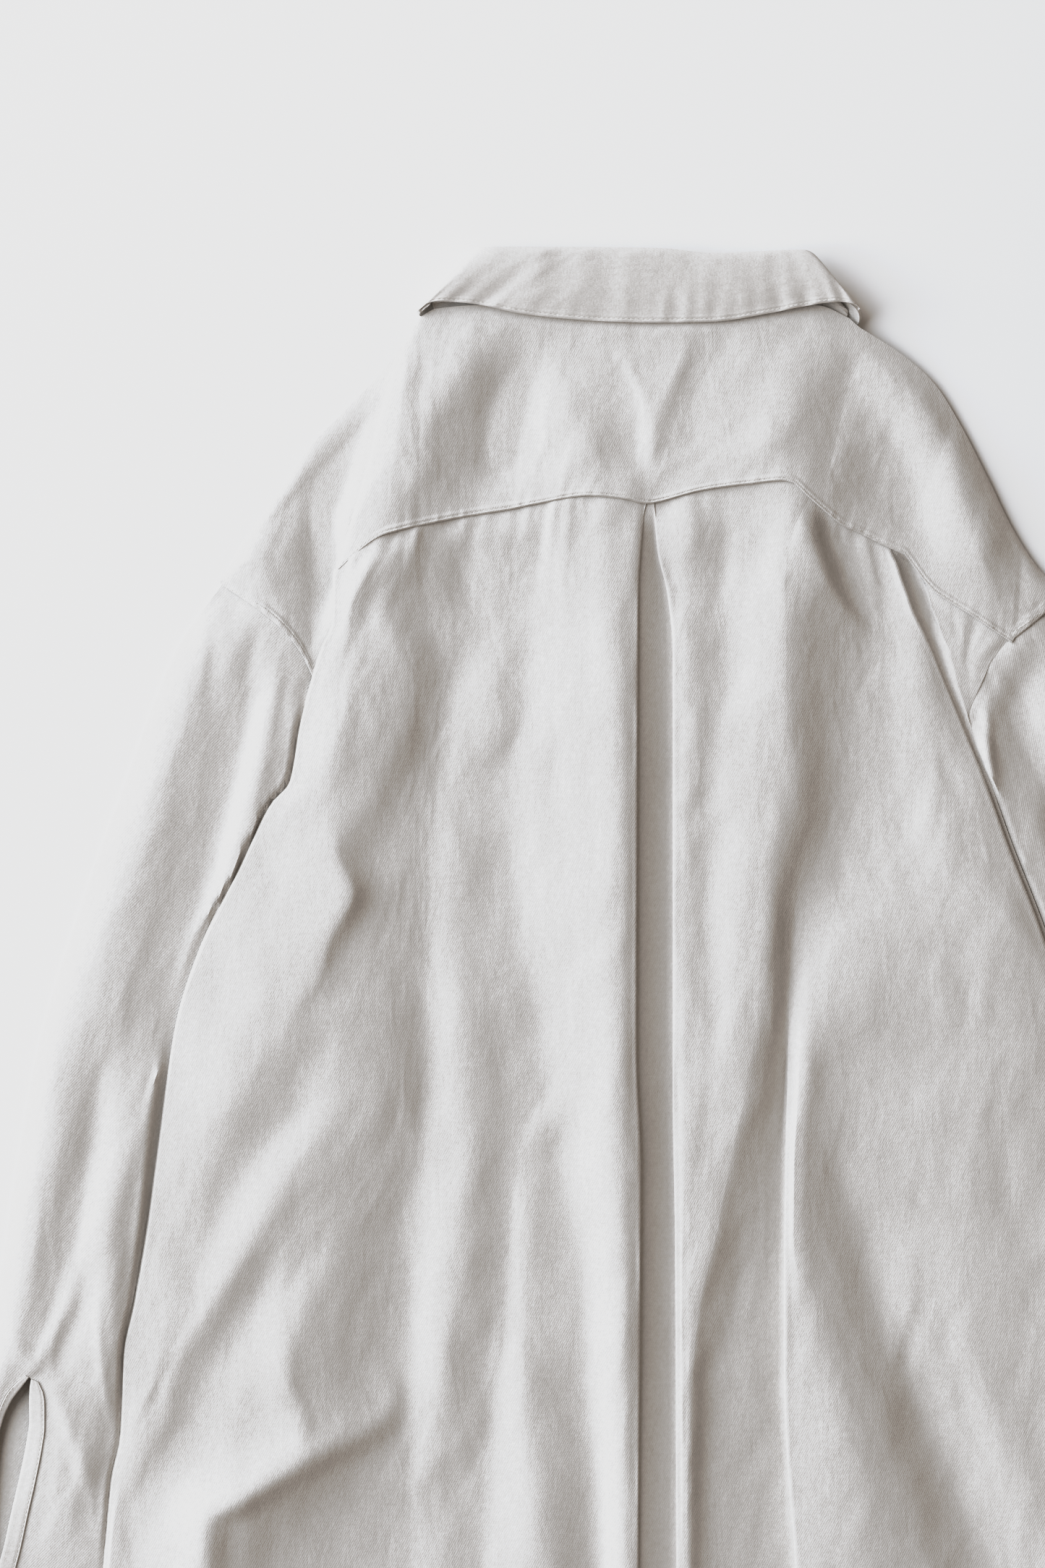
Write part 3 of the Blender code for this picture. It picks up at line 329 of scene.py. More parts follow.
print("curve check", round(float(run_of(curve(((0, 0), (3, 4)), 5))[-1]), 3))


# %% Folds
FOLD_REACH = 3.2         # a fold is followed this many runs away from its route
SIDE_BLEND = 3.0         # width in mm over which the left run turns into the right one
# A crisp crest: its rounding in square mm, the root of that, and its fall as a share of the run
CREST_ROUND, CREST_START, CRISP_RUN = 1.5, 1.22, 0.55


def fold_heights(x, y, folds):
    """The sum of all the ridges and troughs at places x, y."""
    total = np.zeros_like(x)
    for _, left_run, right_run, crisp, route in folds:
        line = curve(route, 8 * (len(route) - 1))
        reach = FOLD_REACH * max(*left_run, *right_run)
        low, high = line[:, :2].min(0) - reach, line[:, :2].max(0) + reach
        part = (x > low[0]) & (x < high[0]) & (y > low[1]) & (y < high[1])
        if not part.any():
            continue
        px, py = x[part], y[part]
        best = np.full(px.shape, np.inf)
        side, where = np.zeros_like(px), np.zeros_like(px)
        count = len(line) - 1
        for i in range(count):
            (ax, ay), (bx, by) = line[i, :2], line[i + 1, :2]
            dx, dy = bx - ax, by - ay
            t = np.clip(((px - ax) * dx + (py - ay) * dy) / (dx * dx + dy * dy), 0.0, 1.0)
            qx, qy = px - ax - t * dx, py - ay - t * dy
            gap = np.hypot(qx, qy)
            near = gap < best
            best = np.where(near, gap, best)
            side = np.where(near, (qx * dy - qy * dx) / math.hypot(dx, dy), side)
            where = np.where(near, (i + t) / count, where)
        left, right = (runs[0] + (runs[1] - runs[0]) * where for runs in (left_run, right_run))
        # The side changes softly across the route, so the crest has no kink
        run = left + (right - left) * ease(0.5 - side / SIDE_BLEND)
        height = np.interp(where, np.linspace(0, 1, count + 1), line[:, 2])
        soft = np.exp(-(best / run) ** 2)
        sharp = np.exp(-(np.sqrt(best ** 2 + CREST_ROUND) - CREST_START) / (CRISP_RUN * run))
        total[part] += height * (soft + (sharp - soft) * crisp)
    return total


# %% Noise that is the same on every run
NOISE_CELLS = 256


def noise(x, y, seed):
    """Smooth noise from -1 to 1 with cells of size 1."""
    turns = np.random.default_rng(seed).uniform(0, 2 * math.pi, (NOISE_CELLS, NOISE_CELLS))
    gx, gy = np.cos(turns), np.sin(turns)
    x0, y0 = np.floor(x).astype(int), np.floor(y).astype(int)
    fx, fy = x - x0, y - y0
    wx, wy = (f ** 3 * (f * (f * 6 - 15) + 10) for f in (fx, fy))
    total = np.zeros_like(fx)
    for i in (0, 1):
        for j in (0, 1):
            cell = (x0 + i) % NOISE_CELLS, (y0 + j) % NOISE_CELLS
            corner = gx[cell] * (fx - i) + gy[cell] * (fy - j)
            total += corner * (wx if i else 1 - wx) * (wy if j else 1 - wy)
    return total * 1.5


def crumple(u, v, layers, seed):
    """Crease layers: width, length, turn in degrees, height, share of sharp crease lines."""
    total = np.zeros_like(u)
    for k, (width, length, turn, height, sharp) in enumerate(layers):
        c, s = math.cos(math.radians(turn)), math.sin(math.radians(turn))
        a, b = (u * c + v * s) / width, (v * c - u * s) / length
        # The creases wander, some are sharp lines, and they come and go in patches
        a = a + 0.55 * noise(a * 0.6 + 7, b * 0.9 + 3, seed + 40 + k)
        rolls = noise(a, b, seed + k)
        lines = np.exp(-(noise(a * 0.8 + 31, b * 0.8 + 17, seed + 80 + k) / 0.13) ** 2) - 0.35
        patches = ease(0.62 + 0.9 * noise(u / 70 + k, v / 90 - k, seed + 120 + k))
        total += height * patches * (rolls * (1 - sharp) + lines * sharp)
    return total


def pucker_rows(seed, first, last, spacing, height, width, length):
    """Random puckers along a seam: place, height, half width, how far each runs off the seam."""
    draw = np.random.default_rng(seed)
    rows, place = [], first
    while place < last:
        place += spacing * draw.uniform(0.55, 1.6)
        rows.append((place, height * draw.uniform(0.3, 1.3) * draw.choice((1.0, -0.8)),
                     width * draw.uniform(0.6, 1.5), length * draw.uniform(0.4, 1.9)))
    return rows


def puckers(along, off, rows, slant=0.0):
    """Height of the puckers at a distance along the seam and off it."""
    total = np.zeros(np.broadcast(along, off).shape)
    for place, height, width, length in rows:
        shift = along - place - slant * off
        reach = np.clip(off / length, 0, 4)
        total += height * np.exp(-(shift / (width * (1 + 0.5 * reach))) ** 2) \
            * np.exp(-reach ** 1.5) * ease(off / 1.5 + 0.35)
    return total


print("noise check", round(float(noise(np.array([0.3]), np.array([0.7]), 1)[0]), 4))


# %% [markdown]
# ## A wall of cloth
# A grid of points becomes a closed wall: the outer face, the same points moved inwards by the
# cloth's thickness, and a rim round each open edge. Both faces and the rim share one mesh, so the
# piece has no open edge and its normals all face out.

# %% Walls
CLOTH, DOUBLED = 0.9, 1.8       # walls of single cloth and of folded, stitched cloth, mm
surfaces = {}                   # outer faces of the pieces, for rows of stitches to lie on


def strip_quads(rows, cols, closed=False, flip=False):
    """Quads of a grid of points, numbered row by row."""
    i, j = np.meshgrid(np.arange(rows - 1), np.arange(cols if closed else cols - 1), indexing="ij")
    k = (j + 1) % cols
    quads = np.stack((i * cols + j, (i + 1) * cols + j, (i + 1) * cols + k, i * cols + k), axis=-1)
    quads = quads.reshape(-1, 4)
    return quads[:, ::-1] if flip else quads


def vertex_normals(points, quads):
    """Unit normals at the points, from the quads round each."""
    face = np.cross(points[quads[:, 2]] - points[quads[:, 0]],
                    points[quads[:, 3]] - points[quads[:, 1]])
    normals = np.zeros_like(points)
    for k in range(4):
        np.add.at(normals, quads[:, k], face)
    return normals / np.maximum(np.linalg.norm(normals, axis=1), 1e-9)[:, None]


def cloth_wall(name, points, quads, material, thick=CLOTH):
    """A closed wall of cloth from outer points in millimetres; returns its object."""
    points, quads = np.asarray(points, float).reshape(-1, 3), np.asarray(quads)
    inner = points - vertex_normals(points, quads) * thick
    count = len(points)
    edges = np.concatenate([quads[:, (k, (k + 1) % 4)] for k in range(4)])
    codes = edges[:, 0] * count + edges[:, 1]
    a, b = edges[~np.isin(edges[:, 1] * count + edges[:, 0], codes)].T
    rim = np.stack((b, a, a + count, b + count), axis=1)
    faces = np.concatenate((quads, quads[:, ::-1] + count, rim))
    piece = plain_object(name, np.vstack((points, inner)), faces.tolist(), material, sharp=60)
    surfaces[name] = BVHTree.FromPolygons(points.tolist(), quads.tolist())
    print(name, "triangles", 2 * len(faces))
    return piece


def plain_object(name, points, faces, material=None, sharp=None):
    """An object from points in millimetres, smooth but for edges sharper than so many degrees."""
    mesh = bpy.data.meshes.new(name)
    mesh.from_pydata(np.asarray(points) * MM, [], faces)
    if material:
        mesh.materials.append(material)
    if sharp:
        mesh.shade_smooth()
        mesh.set_sharp_from_angle(angle=math.radians(sharp))
    return linked(name, mesh)


# %% [markdown]
# ## The outlines
# Every edge below was read off the photograph. The rows run down the garment. Each row gives y,
# then x, then the height just left and just right of the edge, so an edge can be a step.

# %% Edges of the body
HEM_CENTRE_Y, HEM_SIDE_Y = -505.0, -446.0
LEFT_SIDE = (
    (118, -174, 11, 13.2), (90, -174.5, 11, 13.8), (73, -181.5, 10.6, 13.8), (54, -187, 10, 13.6),
    (34, -192.5, 8.6, 13), (1, -198.5, 7.7, 12.4), (-11, -209, 7.6, 12.2), (-44, -225, 7.6, 12),
    (-94, -249, 7.8, 11.8), (-133, -261, 8.2, 11.4), (-206, -271.5, 7.8, 10.8),
    (-246, -277, 7.6, 10.8), (-286, -284, 7.4, 10.8), (-314, -290, 7.4, 10.8),
    (-357, -291.5, 7.4, 10.8), (-386, -297, 7.4, 10.8), (-420, -300, 7.4, 10.8),
    (-446, -302, 7.4, 10.6))
PLEAT_LEFT = (
    (160, -1.4, 13.6, 13.2), (137, -4.4, 16.4, 14.5), (107, -6.4, 18.4, 16), (60, -6.9, 20.4, 17.4),
    (-6, -7.2, 21.8, 18.4), (-145, -7.6, 21.8, 18), (-211, -5.2, 21.6, 17.6),
    (-434, -6.4, 17.5, 15), (-505, -6, 14, 12))
PLEAT_RIGHT = (
    (160, 1.4, 13.2, 13.6), (129, 4, 10.5, 14), (104, 9.6, 8.4, 14.6), (74, 12.4, 7.6, 17.6),
    (-175, 12.4, 7, 18), (-246, 13.6, 6.6, 18.4), (-434, 14.5, 6.2, 18), (-505, 15, 6, 14.6))
RIGHT_FOLD = (
    (158, 86.5, 19, 19), (137, 78, 21.6, 21.6), (114, 74, 23.6, 23.6), (74, 74.5, 24, 24),
    (34, 75, 24, 24), (-6, 72.5, 24, 24), (-46, 65, 23.6, 23.6), (-86, 61.5, 23.4, 23.4),
    (-126, 58.5, 23, 23), (-166, 53, 22.6, 22.6), (-206, 44.5, 21.6, 21.6), (-246, 37, 20.6, 20.6),
    (-286, 27.5, 20.4, 20.4), (-326, 23.6, 20.4, 20.4), (-434, 22.6, 19, 19), (-505, 23, 15, 15))
NEXT_PANEL = (
    (150, 93, 16, 16), (136, 93.5, 15.4, 15.4), (121.6, 97.5, 16.6, 16.6),
    (105.6, 103.5, 14.6, 14.6), (89.6, 106, 13.8, 13.8), (73.6, 104, 13.4, 13.4),
    (49.6, 99, 15, 15), (17.6, 97, 14.2, 14.2), (-14, 93, 14.4, 14.4), (-46, 83.6, 15.2, 15.2),
    (-66, 80, 14, 14), (-86, 77.6, 13, 13), (-126, 76.6, 12.2, 12.6), (-166, 75.6, 9.4, 13.6),
    (-206, 74.4, 7.4, 16), (-286, 73.4, 6.4, 19.2), (-326, 73.5, 6, 18.6), (-366, 75, 6, 18.2),
    (-434, 80, 6, 17), (-505, 82, 5.5, 14))
RIGHT_SIDE = (
    (128, 133.5, 10.2, 6), (121.6, 137, 11.2, 3), (113, 139.6, 12.2, 3), (105, 142.6, 12.8, 3),
    (96, 145.6, 13, 3.4), (89.6, 148.6, 12.6, 4.4), (82, 152.4, 11.8, 5.8), (73.6, 156, 11.4, 6.4),
    (57, 162.4, 11.2, 7.6), (40, 169.4, 11.9, 8.2), (25, 175.4, 12.4, 8.8), (1, 185, 13.6, 9.2),
    (-34, 197.6, 13.8, 9.2), (-82, 216, 14.2, 9.2), (-150, 237, 14.4, 9.2), (-250, 260, 14, 9.2),
    (-350, 279, 13.6, 9.2), (-446, 298, 12.8, 9.2))
EDGES = (LEFT_SIDE, PLEAT_LEFT, PLEAT_RIGHT, RIGHT_FOLD, NEXT_PANEL, RIGHT_SIDE)
print("edges", len(EDGES))

# %% Seams and the shoulders' fold
# x, y and height along each line
YOKE_SEAM = (
    (-174, 117.5, 14), (-153, 135, 18), (-138, 140.5, 17.4), (-114, 146, 13), (-95, 149.5, 10.6),
    (-79, 152, 10.8), (-64, 155, 12), (-38, 159.5, 15.4), (-14, 158, 16.6), (0, 155.5, 13.6),
    (28, 162.5, 15.8), (54, 166, 18.4), (76, 167.5, 20), (85, 160.5, 19.4), (95, 152, 16.6),
    (105, 144, 13.4), (115, 139.5, 11.8), (127, 133.5, 10.6), (138, 128.5, 9.8), (144, 126, 9.8),
    (149, 118, 10.4), (153, 110, 11.2), (162, 103.2, 12.2), (178, 93.2, 13.4), (187, 87, 13.8),
    (199, 79, 13.2))
LEFT_ARMHOLE = (
    (-236.5, 110, 3.4), (-219, 98, 8.5), (-204, 86, 10.2), (-193, 73, 10), (-186, 59, 8.6),
    (-177, 33, 6), (-168, -6, 6), (-163, -98, 4))
RIGHT_ARMHOLE = (
    (229.5, 104, 3.4), (219, 95, 9.6), (209, 86.5, 12.6), (199.5, 79, 13.2), (189, 69, 11.8),
    (184, 57.5, 10.8), (178, 44.5, 10), (174, 31, 9.4), (170, 0, 6), (163, -98, 4))
LEFT_SHOULDER = (
    (-126, 258, 8), (-145, 231, 5.5), (-167.5, 207, 3.8), (-186, 188, 3.4), (-204, 162.5, 3.4),
    (-223, 137, 3.4), (-237.5, 112, 3.4))
RIGHT_SHOULDER = (
    (114, 253, 8), (138, 238, 5.5), (157, 221.5, 3.8), (171.5, 199, 3.4), (186.5, 170, 3.4),
    (201, 140.5, 3.4), (216, 118, 3.4), (230.5, 106, 3.4))
NECKLINE = (
    (-121, 262, 8), (-95, 264, 9.5), (-60, 262, 10), (0, 260, 10), (60, 262, 10), (92, 264, 9.5),
    (110, 257, 8))
# The yoke's edge where the body's left fold lies over it
YOKE_UNDER_BODY = (
    (-186, 59, 8.6), (-177, 66, 8.8), (-170, 80, 8.8), (-168.6, 95, 9), (-170.4, 108, 9.6),
    (-172.8, 116.8, 12.4))
print("armhole points", len(LEFT_ARMHOLE), len(RIGHT_ARMHOLE))

# %% Crests and troughs between the edges
# Each row: y, then x and height of every crest and trough that runs down one strip of the back.
# On the left: the side ridge and its foot, two slanting ridges with their feet, the main trough,
# the crest and trough right of it, the narrow crest, the trough beside the pleat, its own crest.
LEFT_RELIEF = (
    (138, -146, 19, -142, 18.6, -137, 17.6, -129, 15.5, -116, 13, -98, 10.6, -80, 11, -72, 11, -59,
     12.6, -43, 15, -25, 17.6),
    (122, -150, 20.2, -145, 20, -139, 18, -131, 15.3, -118, 11.5, -97, 7.8, -79, 8.7, -72, 8.8, -59,
     11, -43, 15.4, -26, 19.6),
    (94, -163, 16.8, -155, 16.2, -147, 16, -137, 13.6, -119, 9, -95, 6.2, -80, 7, -74, 6.9, -59,
     9.6, -41, 15.6, -22.4, 20.6),
    (66, -163, 19, -154, 17.8, -143, 16.5, -132, 14.5, -119, 9.5, -102, 6.4, -84, 8, -70, 7.4, -55,
     11, -37, 17, -19.4, 22.6),
    (34, -168, 20.6, -159, 19.2, -147, 17, -134, 14.6, -123, 9.8, -110, 7, -88, 9, -71, 8, -55, 12,
     -36, 18.4, -17, 23.8),
    (-6, -174, 17.8, -163, 16.4, -151, 13.8, -140, 10.3, -129, 7, -118, 5.2, -106, 6.4, -81, 4.8,
     -59, 10, -38, 16.8, -16.4, 24),
    (-38, -172, 19, -166, 17.2, -155, 12.8, -143, 10, -132, 7.6, -121, 6, -106, 7.4, -79, 4.6, -58,
     10.4, -38, 16.8, -16, 24),
    (-59, -163.6, 21.4, -159, 17.4, -150, 13, -141, 10.6, -131, 8.4, -122, 6.8, -107, 8.2, -77, 5.2,
     -58, 10.4, -38, 16.8, -16, 24),
    (-86, -176.5, 21.6, -170, 18.6, -156, 15.4, -143, 12.6, -133, 10, -122, 8, -108, 9.9, -73, 7,
     -57, 10.6, -38, 17, -16, 24),
    (-108, -183, 21.8, -176, 20.2, -160, 17, -147, 14.6, -134, 11.6, -121, 9, -105, 11.4, -68, 7.8,
     -55, 10.6, -38, 16.8, -16, 24),
    (-126, -198, 22.2, -183, 21, -161, 19.2, -149, 17, -135, 13.3, -121, 9.8, -103, 13, -64, 8.6,
     -53, 10.6, -37, 16.4, -16, 24),
    (-166, -219, 21, -190, 17.8, -166, 18.6, -149, 16.8, -137, 13, -123, 9, -102, 13.4, -62.5, 8.2,
     -53, 9.8, -39, 15, -16, 24),
    (-206, -240, 15.6, -219, 14.4, -192, 19.6, -171, 17.4, -146, 12, -126, 8, -101, 14.2, -74, 9,
     -69, 9.6, -49.6, 8.6, -16, 24),
    (-246, -251, 13.4, -243, 13.2, -217, 19.8, -201, 17.4, -171, 14.4, -133, 5.6, -105, 14.4, -78,
     9.2, -67.6, 11.6, -44, 9.6, -15.4, 23.6),
    (-286, -259, 13.6, -252, 13.5, -240, 15.8, -221, 12.4, -189.6, 17, -131, 4.6, -109, 12.5, -79.4,
     7.5, -68, 11.5, -38, 8.8, -14.6, 23),
    (-326, -273, 13.2, -269, 13.2, -264, 13.4, -242, 10.4, -199, 17.6, -134, 4.2, -113, 10, -85, 6,
     -68.4, 12, -36, 8, -14.4, 22),
    (-350, -279, 13, -275, 13, -270, 13.2, -252, 10.4, -189.4, 16, -134, 4, -116, 8.4, -87, 5, -67,
     12.6, -33, 7.8, -14.6, 21),
    (-366, -285, 12.6, -282, 12.8, -279, 13, -264.6, 10.8, -198, 13.4, -134, 3.8, -119.4, 7.2, -88,
     4.6, -65.6, 13.2, -30.6, 7.4, -15, 20.4),
    (-406, -295, 12.2, -293, 12.4, -291, 12.5, -285.6, 11.6, -243, 14, -133, 3.8, -124, 4.8, -93.6,
     4.4, -60, 14.6, -28, 6.6, -15.4, 19),
    (-446, -298, 11.8, -294, 12, -290, 12, -284, 11.8, -247, 13.5, -135, 4.2, -123, 5, -97, 4.6,
     -57, 14.6, -27, 6.6, -15.6, 18),
    (-505, -298, 11.4, -293, 11.6, -287, 11.6, -279, 11.6, -244, 12.4, -135, 5.2, -122, 5.8, -99,
     5.4, -58, 12.6, -28, 6.6, -16, 14.6))
# The centre panel: its first roll, its hollow and the rise to the right fold
CENTRE_RELIEF = (
    (157, 17, 16, 35, 15.4, 57, 16.6), (137, 21, 18, 42, 15.8, 61, 18.4),
    (114, 19, 16.4, 41, 14.2, 59, 18.4), (74, 21, 19.4, 41.6, 16, 59, 20),
    (34, 21, 19.2, 39, 17, 59, 21.4), (-6, 20, 18.8, 33, 17.6, 55, 22.6),
    (-46, 19, 18.6, 32, 17.2, 51, 22.2), (-86, 19, 18.6, 32, 17.4, 48, 22),
    (-126, 19, 19.2, 33.6, 18.6, 46.4, 21.8), (-166, 19, 19.6, 31, 19.8, 41.6, 21.4),
    (-206, 19, 20, 27, 19.8, 35, 20.8), (-246, 18.2, 19.8, 23.2, 20, 29, 20.2),
    (-286, 17.6, 19.6, 20, 20, 23, 20.3), (-366, 17.8, 19.4, 19.6, 19.9, 21, 20.2),
    (-434, 17.8, 18.2, 19.4, 18.6, 20.8, 18.8), (-505, 18, 14.6, 19.4, 14.8, 21, 14.9))
# The slope from the right fold down to the next panel
SLOPE_RELIEF = (
    (150, 84, 19.4, 90, 17.4), (136, 83, 22, 89.6, 19.2), (121.6, 84, 22.4, 92.5, 20),
    (105.6, 86, 21.9, 99, 17.6), (89.6, 82, 22.2, 96, 17.2), (73.6, 82, 22, 92, 17.8),
    (49.6, 82, 22.2, 90, 19), (17.6, 81.4, 22, 89, 18.4), (-14, 78.6, 22.2, 86, 18.6),
    (-46, 71.5, 22.2, 77, 19.2), (-66, 69, 22, 74.4, 17.4), (-86, 67, 22.2, 72.6, 17.6),
    (-126, 65, 21.6, 71.6, 16.6), (-166, 60.8, 19.6, 69, 13.8), (-206, 50.5, 18.8, 63, 12.2),
    (-246, 44, 17, 61, 10.4), (-286, 34, 15.6, 58, 9.4), (-366, 28.6, 13.8, 57.6, 8.8),
    (-434, 28.4, 13.2, 59, 8.4), (-505, 28.4, 11.6, 59, 8))
# The right panel: crest after its edge, a slope, the dark trough and the crest before the side
RIGHT_RELIEF = (
    (150, 98, 12.4, 105, 10, 116, 9.6, 127, 10), (136, 98.5, 10.6, 105, 9.2, 118, 9, 128, 9.8),
    (121.6, 104, 10.4, 111, 8.6, 121, 8.8, 131, 9.2),
    (105.6, 110, 9.8, 117.5, 8, 125, 8.4, 136, 10.4),
    (89.6, 114, 10.4, 122, 8.3, 128, 8.3, 141, 11), (73.6, 114, 10.8, 124, 8.8, 130, 9, 149, 12),
    (49.6, 107, 12.4, 117, 10.7, 127, 10.6, 153, 14),
    (17.6, 105, 11.8, 115, 10.4, 129, 10.4, 163, 14.4),
    (-14, 102, 11, 113, 9.6, 133, 11.2, 174, 15.6), (-46, 92, 12.6, 107, 10, 133, 12.8, 174, 17.4),
    (-66, 90, 13.2, 106, 13, 133, 14.8, 190, 17.8), (-86, 88, 14.2, 105, 16.6, 133, 17, 201, 18),
    (-126, 86, 18.6, 101, 19.8, 133, 18.4, 201, 17.6),
    (-166, 82.4, 21, 97, 17.2, 107, 16.2, 185, 18),
    (-206, 79.4, 21, 93, 16.6, 106.6, 13, 177, 16.4), (-246, 79, 21, 97, 15.6, 118, 9.4, 177, 15),
    (-286, 87, 21, 105, 16.8, 130, 8.8, 177, 14.6), (-326, 99, 21.6, 118, 17.4, 144, 6.8, 189, 14),
    (-366, 109, 22.6, 129, 18.6, 162, 5, 201, 13), (-406, 115, 22.4, 141, 18, 177, 4.8, 217, 12.6),
    (-446, 122, 21, 152, 16.4, 190, 5, 229, 12), (-505, 131, 17, 161, 13.4, 201, 6.6, 239, 11))
# Beyond the side fold: the bottom of the pocket and the cloth that rises from it to the armhole
POCKET_RELIEF = (
    (128, 139, 6, 142, 9.4), (121.6, 146.8, 3, 147.8, 10), (113, 149.8, 3, 150.8, 10.4),
    (105, 152, 3, 153, 10.8), (96, 154.2, 3.4, 155.4, 11), (89.6, 156.6, 4.4, 158.4, 11),
    (82, 157.4, 6, 161, 10.6), (73.6, 160.2, 6.8, 164.4, 10.4), (57, 165, 7.8, 168.8, 10.2),
    (40, 171.6, 8.4, 174.6, 9.8), (25, 176.6, 8.9, 178, 9.3), (1, 185.6, 9.2, 186, 9.3),
    (-34, 198, 9.2, 198.4, 9.3), (-446, 298.4, 9.2, 298.8, 9.3))
# The strips start at the left side (0) and right of each edge; the pleat's floor (1) has no relief
RELIEF = {0: LEFT_RELIEF, 2: CENTRE_RELIEF, 3: SLOPE_RELIEF, 4: RIGHT_RELIEF, 5: POCKET_RELIEF}
print("rows of relief", sum(len(rows) for rows in RELIEF.values()))


# %% [markdown]
# ## The back's folds
# Light falls from the left, so a slope that faces left is bright and one that faces right is dark.
# Reading the tones along each row of the photograph tells where each crest and trough lies.

# %% Folds of the back
# name, left run at both ends, right run at both ends, crispness, route x, y, height
BACK_FOLDS = (
    ("hook fold", (5, 20), (6, 3.4), 0.2,
     ((-152, -326, 1), (-143, -331, 2.2), (-143, -345, 3), (-156, -358, 4), (-184, -371, 5),
      (-208, -385, 6), (-226, -396, 6.6), (-238, -402, 7), (-241, -420, 6.6), (-241, -446, 6))),
    ("slope below the hook", (12, 34), (22, 34), 0,
     ((-150, -340, 0.6), (-170, -362, 3), (-200, -380, 7), (-226, -396, 9.4), (-242, -420, 9.4),
      (-243, -480, 8))),
    ("crisp edge of the third ridge", (14, 14), (4, 4), 0.4,
     ((-190, -286, 0.4), (-195, -306, 1.6), (-199, -326, 2.2), (-193.6, -342, 2.4),
      (-189.6, -353, 2.2), (-194, -365, 1))),
    ("lip of the hollow", (12, 13), (1.8, 2.2), 0.3,
     ((88.6, 148, 0.8), (92, 134, 2.6), (96.5, 119, 3.2), (103, 105, 2.8), (111, 93, 2),
      (119, 84.6, 1.2), (124, 78, 0.3))),
    ("creases from the armhole", (1.8, 1.8), (1.6, 1.6), 0.2,
     ((163.5, 100, -0.8), (167, 91, -1.4), (170, 80, -0.5))),
    ("nose on the side fold", (16, 18), (4, 4.5), 0.2,
     ((-173, -30, 0.6), (-171, -45, 1.8), (-163, -59, 2.6), (-166, -72, 2.2), (-176, -90, 1.6),
      (-183, -108, 1))),
    ("gathered crease under the seam", (7, 8), (5, 6), 0.3,
     ((-154, 128, 1), (-163, 100, 2), (-172, 78, 1.6), (-178, 60, 1))),
    ("crease right of the pleat's top", (5, 6), (6, 7), 0.3,
     ((8, 126, -0.6), (16.8, 106, -1.6), (23, 88, -0.8))))
print("folds of the back", len(BACK_FOLDS))

# %% What lies under the back
SLEEVE_UNDER = 6.0              # height of a sleeve where the body lies on it
SHOULDER_SHIFT = 7.0            # the right sleeve mirrors the left one, so much nearer the centre
SLEEVE_INNER = (
    (-163, -98), (-188, -200), (-222, -310), (-266, -468))


def mirrored(x, side):
    """The left sleeve's x on one side of the body; the same step leads back."""
    return x if side < 0 else -x - SHOULDER_SHIFT


def hem_y(x):
    """Height of the curved shirt-tail hem at x."""
    t = np.clip(np.abs(x) / 300.0, 0.0, 1.0)
    return HEM_CENTRE_Y + (HEM_SIDE_Y - HEM_CENTRE_Y) * ramp(t, 0.25, 1)


def near_side(y, side):
    """Where a sleeve ends under the body at height y: its armhole, then its inner fold."""
    armhole = LEFT_ARMHOLE if side < 0 else RIGHT_ARMHOLE
    rows = [row[1::-1] for row in armhole] + [(v, mirrored(x, side)) for x, v in SLEEVE_INNER[1:]]
    return np.interp(y, *np.array(sorted(rows)).T)


def front_low(x, y):
    """Height of the fronts' underside: up over the sleeves and over the collar's points."""
    left = ease((near_side(y, -1) + 30.0 - x) / 22.0)
    right = ease((x - near_side(y, 1) + 30.0) / 22.0)
    sleeve = (SLEEVE_UNDER + 1.0) * np.maximum(left, right) * ramp(y, 40, 2)
    collar = 2.4 * ramp(y, 120, 146) * ramp(np.abs(x), 142, 128)
    return np.maximum(sleeve, collar)


def back_floor(x, y):
    """Lowest outer height of the back that clears the front and the button band under it."""
    over_band = 3.2 * ramp(np.abs(x), 40, 24)
    return np.maximum(front_low(x, y), over_band) + 2.9


print("lowest back at its centre", round(float(back_floor(0.0, -200.0)), 2), "mm")


# %% The back's columns
# How far the low side of each edge lies from its crest: negative tucks it under the fold
FOOT_RUNS = (-0.8, -1.0, -1.2, 1.0, -1.0, 2.4)
# Places of the columns that turn round a crest: how far off it, and how far down at a full step
TURN_COLUMNS = (-2.6, 0.0), (-1.2, 0.3), (-0.3, 1.0), (0.0, 1.9)
FULL_STEP = 5.0                 # height of a step that turns in full, mm
STRIP_COLUMNS = (118, 6, 25, 20, 82, 22)   # columns between one edge and the next


def edge_columns(edge, y):
    """The columns that turn round one fold edge: their places and heights."""
    x, left, right = (column(EDGES[edge], y, k) for k in (1, 2, 3))
    high, low = np.maximum(left, right), np.minimum(left, right)
    falls_right = edge in (1, 3, 5)
    sign = 1.0 if falls_right else -1.0
    round_ = np.clip((high - low) / FULL_STEP, 0.0, 1.0)
    run = FOOT_RUNS[edge]
    if edge == 3:
        run = run + 1.6 * ramp(y, -40, 20) - 1.6 * ramp(y, -60, -100)
    if edge == 5:
        # The side fold is tucked under low down; in the pocket its slope runs out wide
        run = run - 3.4 * ramp(y, 34, 14)
        run = run + 4.6 * ramp(y, 82, 92) * ramp(y, 130, 120)
    # Where an edge has no step, its columns draw together
    tight = np.maximum(round_, 0.12)
    turned = [(x + sign * off * tight * 0.9, high - down * round_) for off, down in TURN_COLUMNS]
    run = 0.1 + (run - 0.1) * round_
    middle = (x + sign * 0.4 * np.maximum(run, -2.0), (high + low) / 2)
    foot = [(x + sign * run, low + 0.5 * round_), (x + sign * (run + 1.8 * tight), low)]
    places = turned + [middle] + foot
    return places if falls_right else places[::-1]


